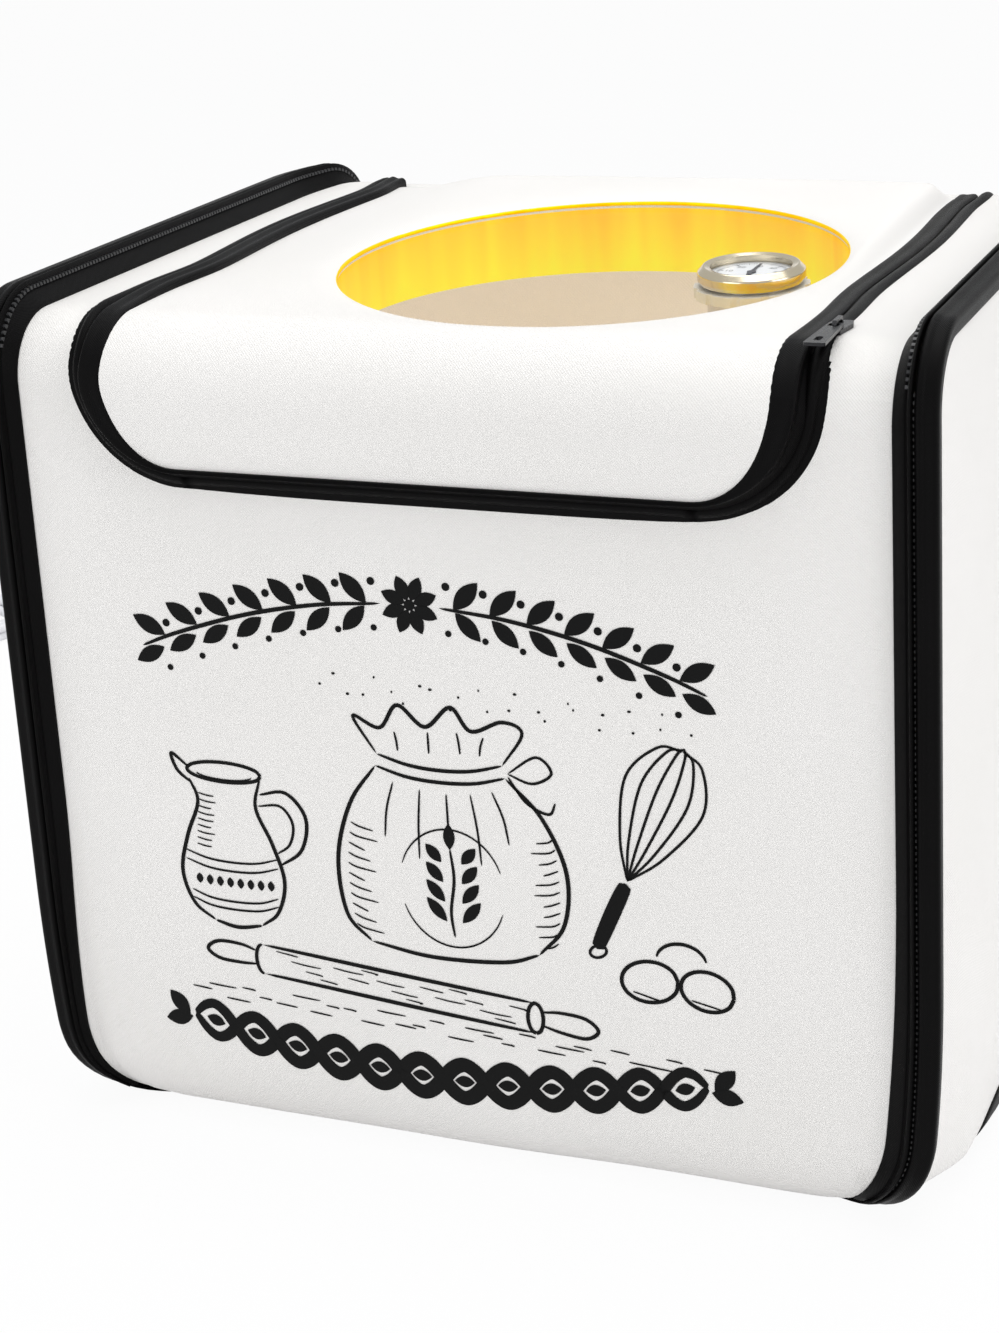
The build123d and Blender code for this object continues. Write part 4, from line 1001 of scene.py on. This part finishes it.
for number in range(11):
    z = 146 - 4.4 * number
    left = -47.5 + 0.045 * (z - 122) ** 2 / 10
    pen(0.75, (left + 1.5, z), (left + 5, z - 1.6), (left + 11 + 3 * sin(2.1 * number), z - 3.0))
    pen(0.75, (43.0 - 0.0035 * (z - 124) ** 2, z + 2), (39, z + 0.2), (34 - 2.5 * sin(1.7 * number), z - 0.8))
pen(1.3, (-2, 101), (-3, 112), (-1, 126), (-2, 139))
for number, z in enumerate((108, 116, 124, 132)):
    blot(-9.0, z + 4.5, 12.5 - number, 4.8, 130)
    blot(5.6, z + 4.5, 12.5 - number, 4.8, 50)
blot(-2, 144, 11, 4.8, 90)
oval(-2, 122, 22, 25, 200, 340, 0.8)
oval(-2, 122, 22, 25, 20, 160, 0.8)

# Milk jug with a looped handle and a glazed band.
oval(-98, 161, 16.5, 4.2, width=1.5)
oval(-98, 160.3, 12.5, 2.6, 190, 350, 0.8)
pen(1.5, (-114, 162), (-121, 167), (-119, 160), (-113, 155))
pen(1.7, (-114, 157), (-111, 147), (-117, 132), (-121, 116), (-117, 102), (-108, 95))
pen(1.7, (-82, 160), (-85, 147), (-79, 132), (-75, 116), (-79, 102), (-87, 95))
pen(1.7, (-108, 95), (-98, 93), (-87, 95))
pen(1.6, (-83, 153), (-71, 155), (-63, 145), (-66, 131), (-76, 123))
pen(1.2, (-84, 148), (-74, 149), (-69, 142), (-71, 133), (-77, 128))
for z in (125.5, 121.5, 108.0, 104.5):
    reach = 21.0 if z > 115 else 19.6
    pen(1.0, (-98 - reach, z), (-109, z - 3.0), (-98, z - 3.8), (-87, z - 3.0), (-98 + reach, z))
for number in range(8):
    x = -113.5 + 4.6 * number
    blot(x, 113.4 - 0.02 * (36 - (x + 98) ** 2 / 10), 4.6, 3.0, 90)
for number in range(9):
    z = 151 - 2.8 * number
    left = -112.0 - (0.32 * number if number > 1 else 0)
    pen(0.7, (left + 1.4, z), (left + 5.0, z - 0.8), (left + 8.5 + sin(2.3 * number), z - 1.0))

# Balloon whisk.
pen(6.4, (57, 104), (64, 120), (70, 133), taper=0.12)
oval(57.5, 103, 3.6, 2.4, width=1.2, tilt=25)
for bulge in (-15, -9, -3, 3, 9, 15):
    lean = np.array((0.40, 0.917))
    side = np.array((0.917, -0.40))
    root, tip = np.array((70.5, 134)), np.array((70.5, 134)) + lean * (62 - abs(bulge) * 0.12)
    pen(1.1, root, root + lean * 16 + side * bulge * 0.62, root + lean * 40 + side * bulge * 1.08,
        root + lean * 57 + side * bulge * 0.62, tip, taper=0.08)

# Eggs, with a few strokes of shade.
oval(78, 93, 11.5, 8.6, width=1.6, tilt=8)
oval(101, 92, 10.6, 8.2, width=1.6, tilt=-10)
oval(91, 103, 10.0, 7.6, 8, 172, 1.5)
for number in range(5):
    pen(0.7, (71 + 2.0 * number, 88.0 - 0.5 * number), (75 + 2.2 * number, 87.2 - 0.5 * number))
    pen(0.7, (94.5 + 1.9 * number, 87.6 - 0.4 * number), (98 + 2.0 * number, 86.8 - 0.4 * number))

# Rolling pin lying in front.
pen(1.8, (-88, 86.5), (-30, 82), (30, 77))
pen(1.8, (-88, 73.5), (-30, 69), (30, 64))
oval(-88, 80, 3.0, 6.5, 90, 270, 1.6)
oval(30, 70.5, 3.2, 6.5, -90, 270, 1.6)
pen(1.6, (-91, 83.5), (-98, 85.5), (-108, 85.6), (-113, 81.8), (-108, 78.0), (-98, 77.2), (-91, 77.5))
pen(1.6, (33, 73.5), (41, 74.2), (51, 73.0), (56, 68.5), (51, 64.6), (41, 65.6), (33, 67.6))
for number in range(17):
    x = -82 + 6.3 * number
    drop = (1.7, 4.9, 8.0, 10.2, 3.4, 6.6)[number % 6]
    z = 86.5 - 0.081 * (x + 88) - drop
    pen(0.65, (x, z), (x + 7, z - 0.9), (x + 10 + 4 * sin(1.9 * number), z - 1.3))

# Table top: loose strokes of shade under everything, and flour on it.
for number in range(30):
    x = -122 + 7.6 * number
    z = 60.5 - 0.03 * (x + 12) + 3.2 * sin(2.4 * number)
    pen(0.75, (x, z), (x + 5, z - 0.4), (x + 9 + 4 * sin(1.3 * number), z - 0.8))
for number in range(26):
    blot(-52 + 5.9 * number + 3 * sin(3.1 * number), 203 + 5.0 * sin(1.9 * number) - 0.04 * number**1.5,
         1.1 + 0.4 * sin(number), 1.1, 0, 0.5)

# Border: two strands twisted round a row of lozenges.
border_left, border_wide, lozenges = -122, 222, 12


def border_line(share):
    """Middle of the border at a share of its width: it curves up to both ends."""
    return border_left + border_wide * share, 38 + 13 * (2 * share - 1) ** 2


swing = np.linspace(0, 1, 49)
for phase in (0, pi):
    x, z = border_line(swing)
    pen(6.4, *np.stack([x, z + 7.4 * np.sin(swing * lozenges * pi + phase)], axis=-1), taper=0.2)
for number in range(lozenges):
    share = (number + 0.5) / lozenges
    blot(*border_line(share), 8.6, 5.0, 20 * (2 * share - 1))
for end in (-1, 1):
    blot(-11 + end * 118, 55.0, 13, 7, 90 - end * 40)
    blot(-11 + end * 119, 48.0, 13, 7, 90 - end * 100)

sizes = [len(stroke) for stroke in strokes]
starts = np.append(0, np.cumsum(sizes))[:-1] * 2
ink_faces = np.concatenate([
    start + 2 * np.arange(size - 1)[:, None] + np.array((0, 1, 3, 2)) for start, size in zip(starts, sizes)
])
plan = np.concatenate([stroke.reshape(-1, 2) for stroke in strokes]) / 1000
print_x, print_s = plan[:, 0], walls[2] + plan[:, 1] - 0.026
print_points = sleeve(print_x, print_s, sleeve_plump(print_x, print_s) + 0.00025)
print_mesh = bpy.data.meshes.new("front_print")
print_mesh.from_pydata(print_points.tolist(), [], ink_faces.tolist())
facing = print_points[ink_faces]
outward = np.cross(facing[:, 2] - facing[:, 0], facing[:, 3] - facing[:, 1])[:, 1]
if outward.sum() > 0:
    print_mesh.flip_normals()
print_mesh.shade_smooth()
front_print = stand("front_print", print_mesh, ink)
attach(front_print, "front_wall")
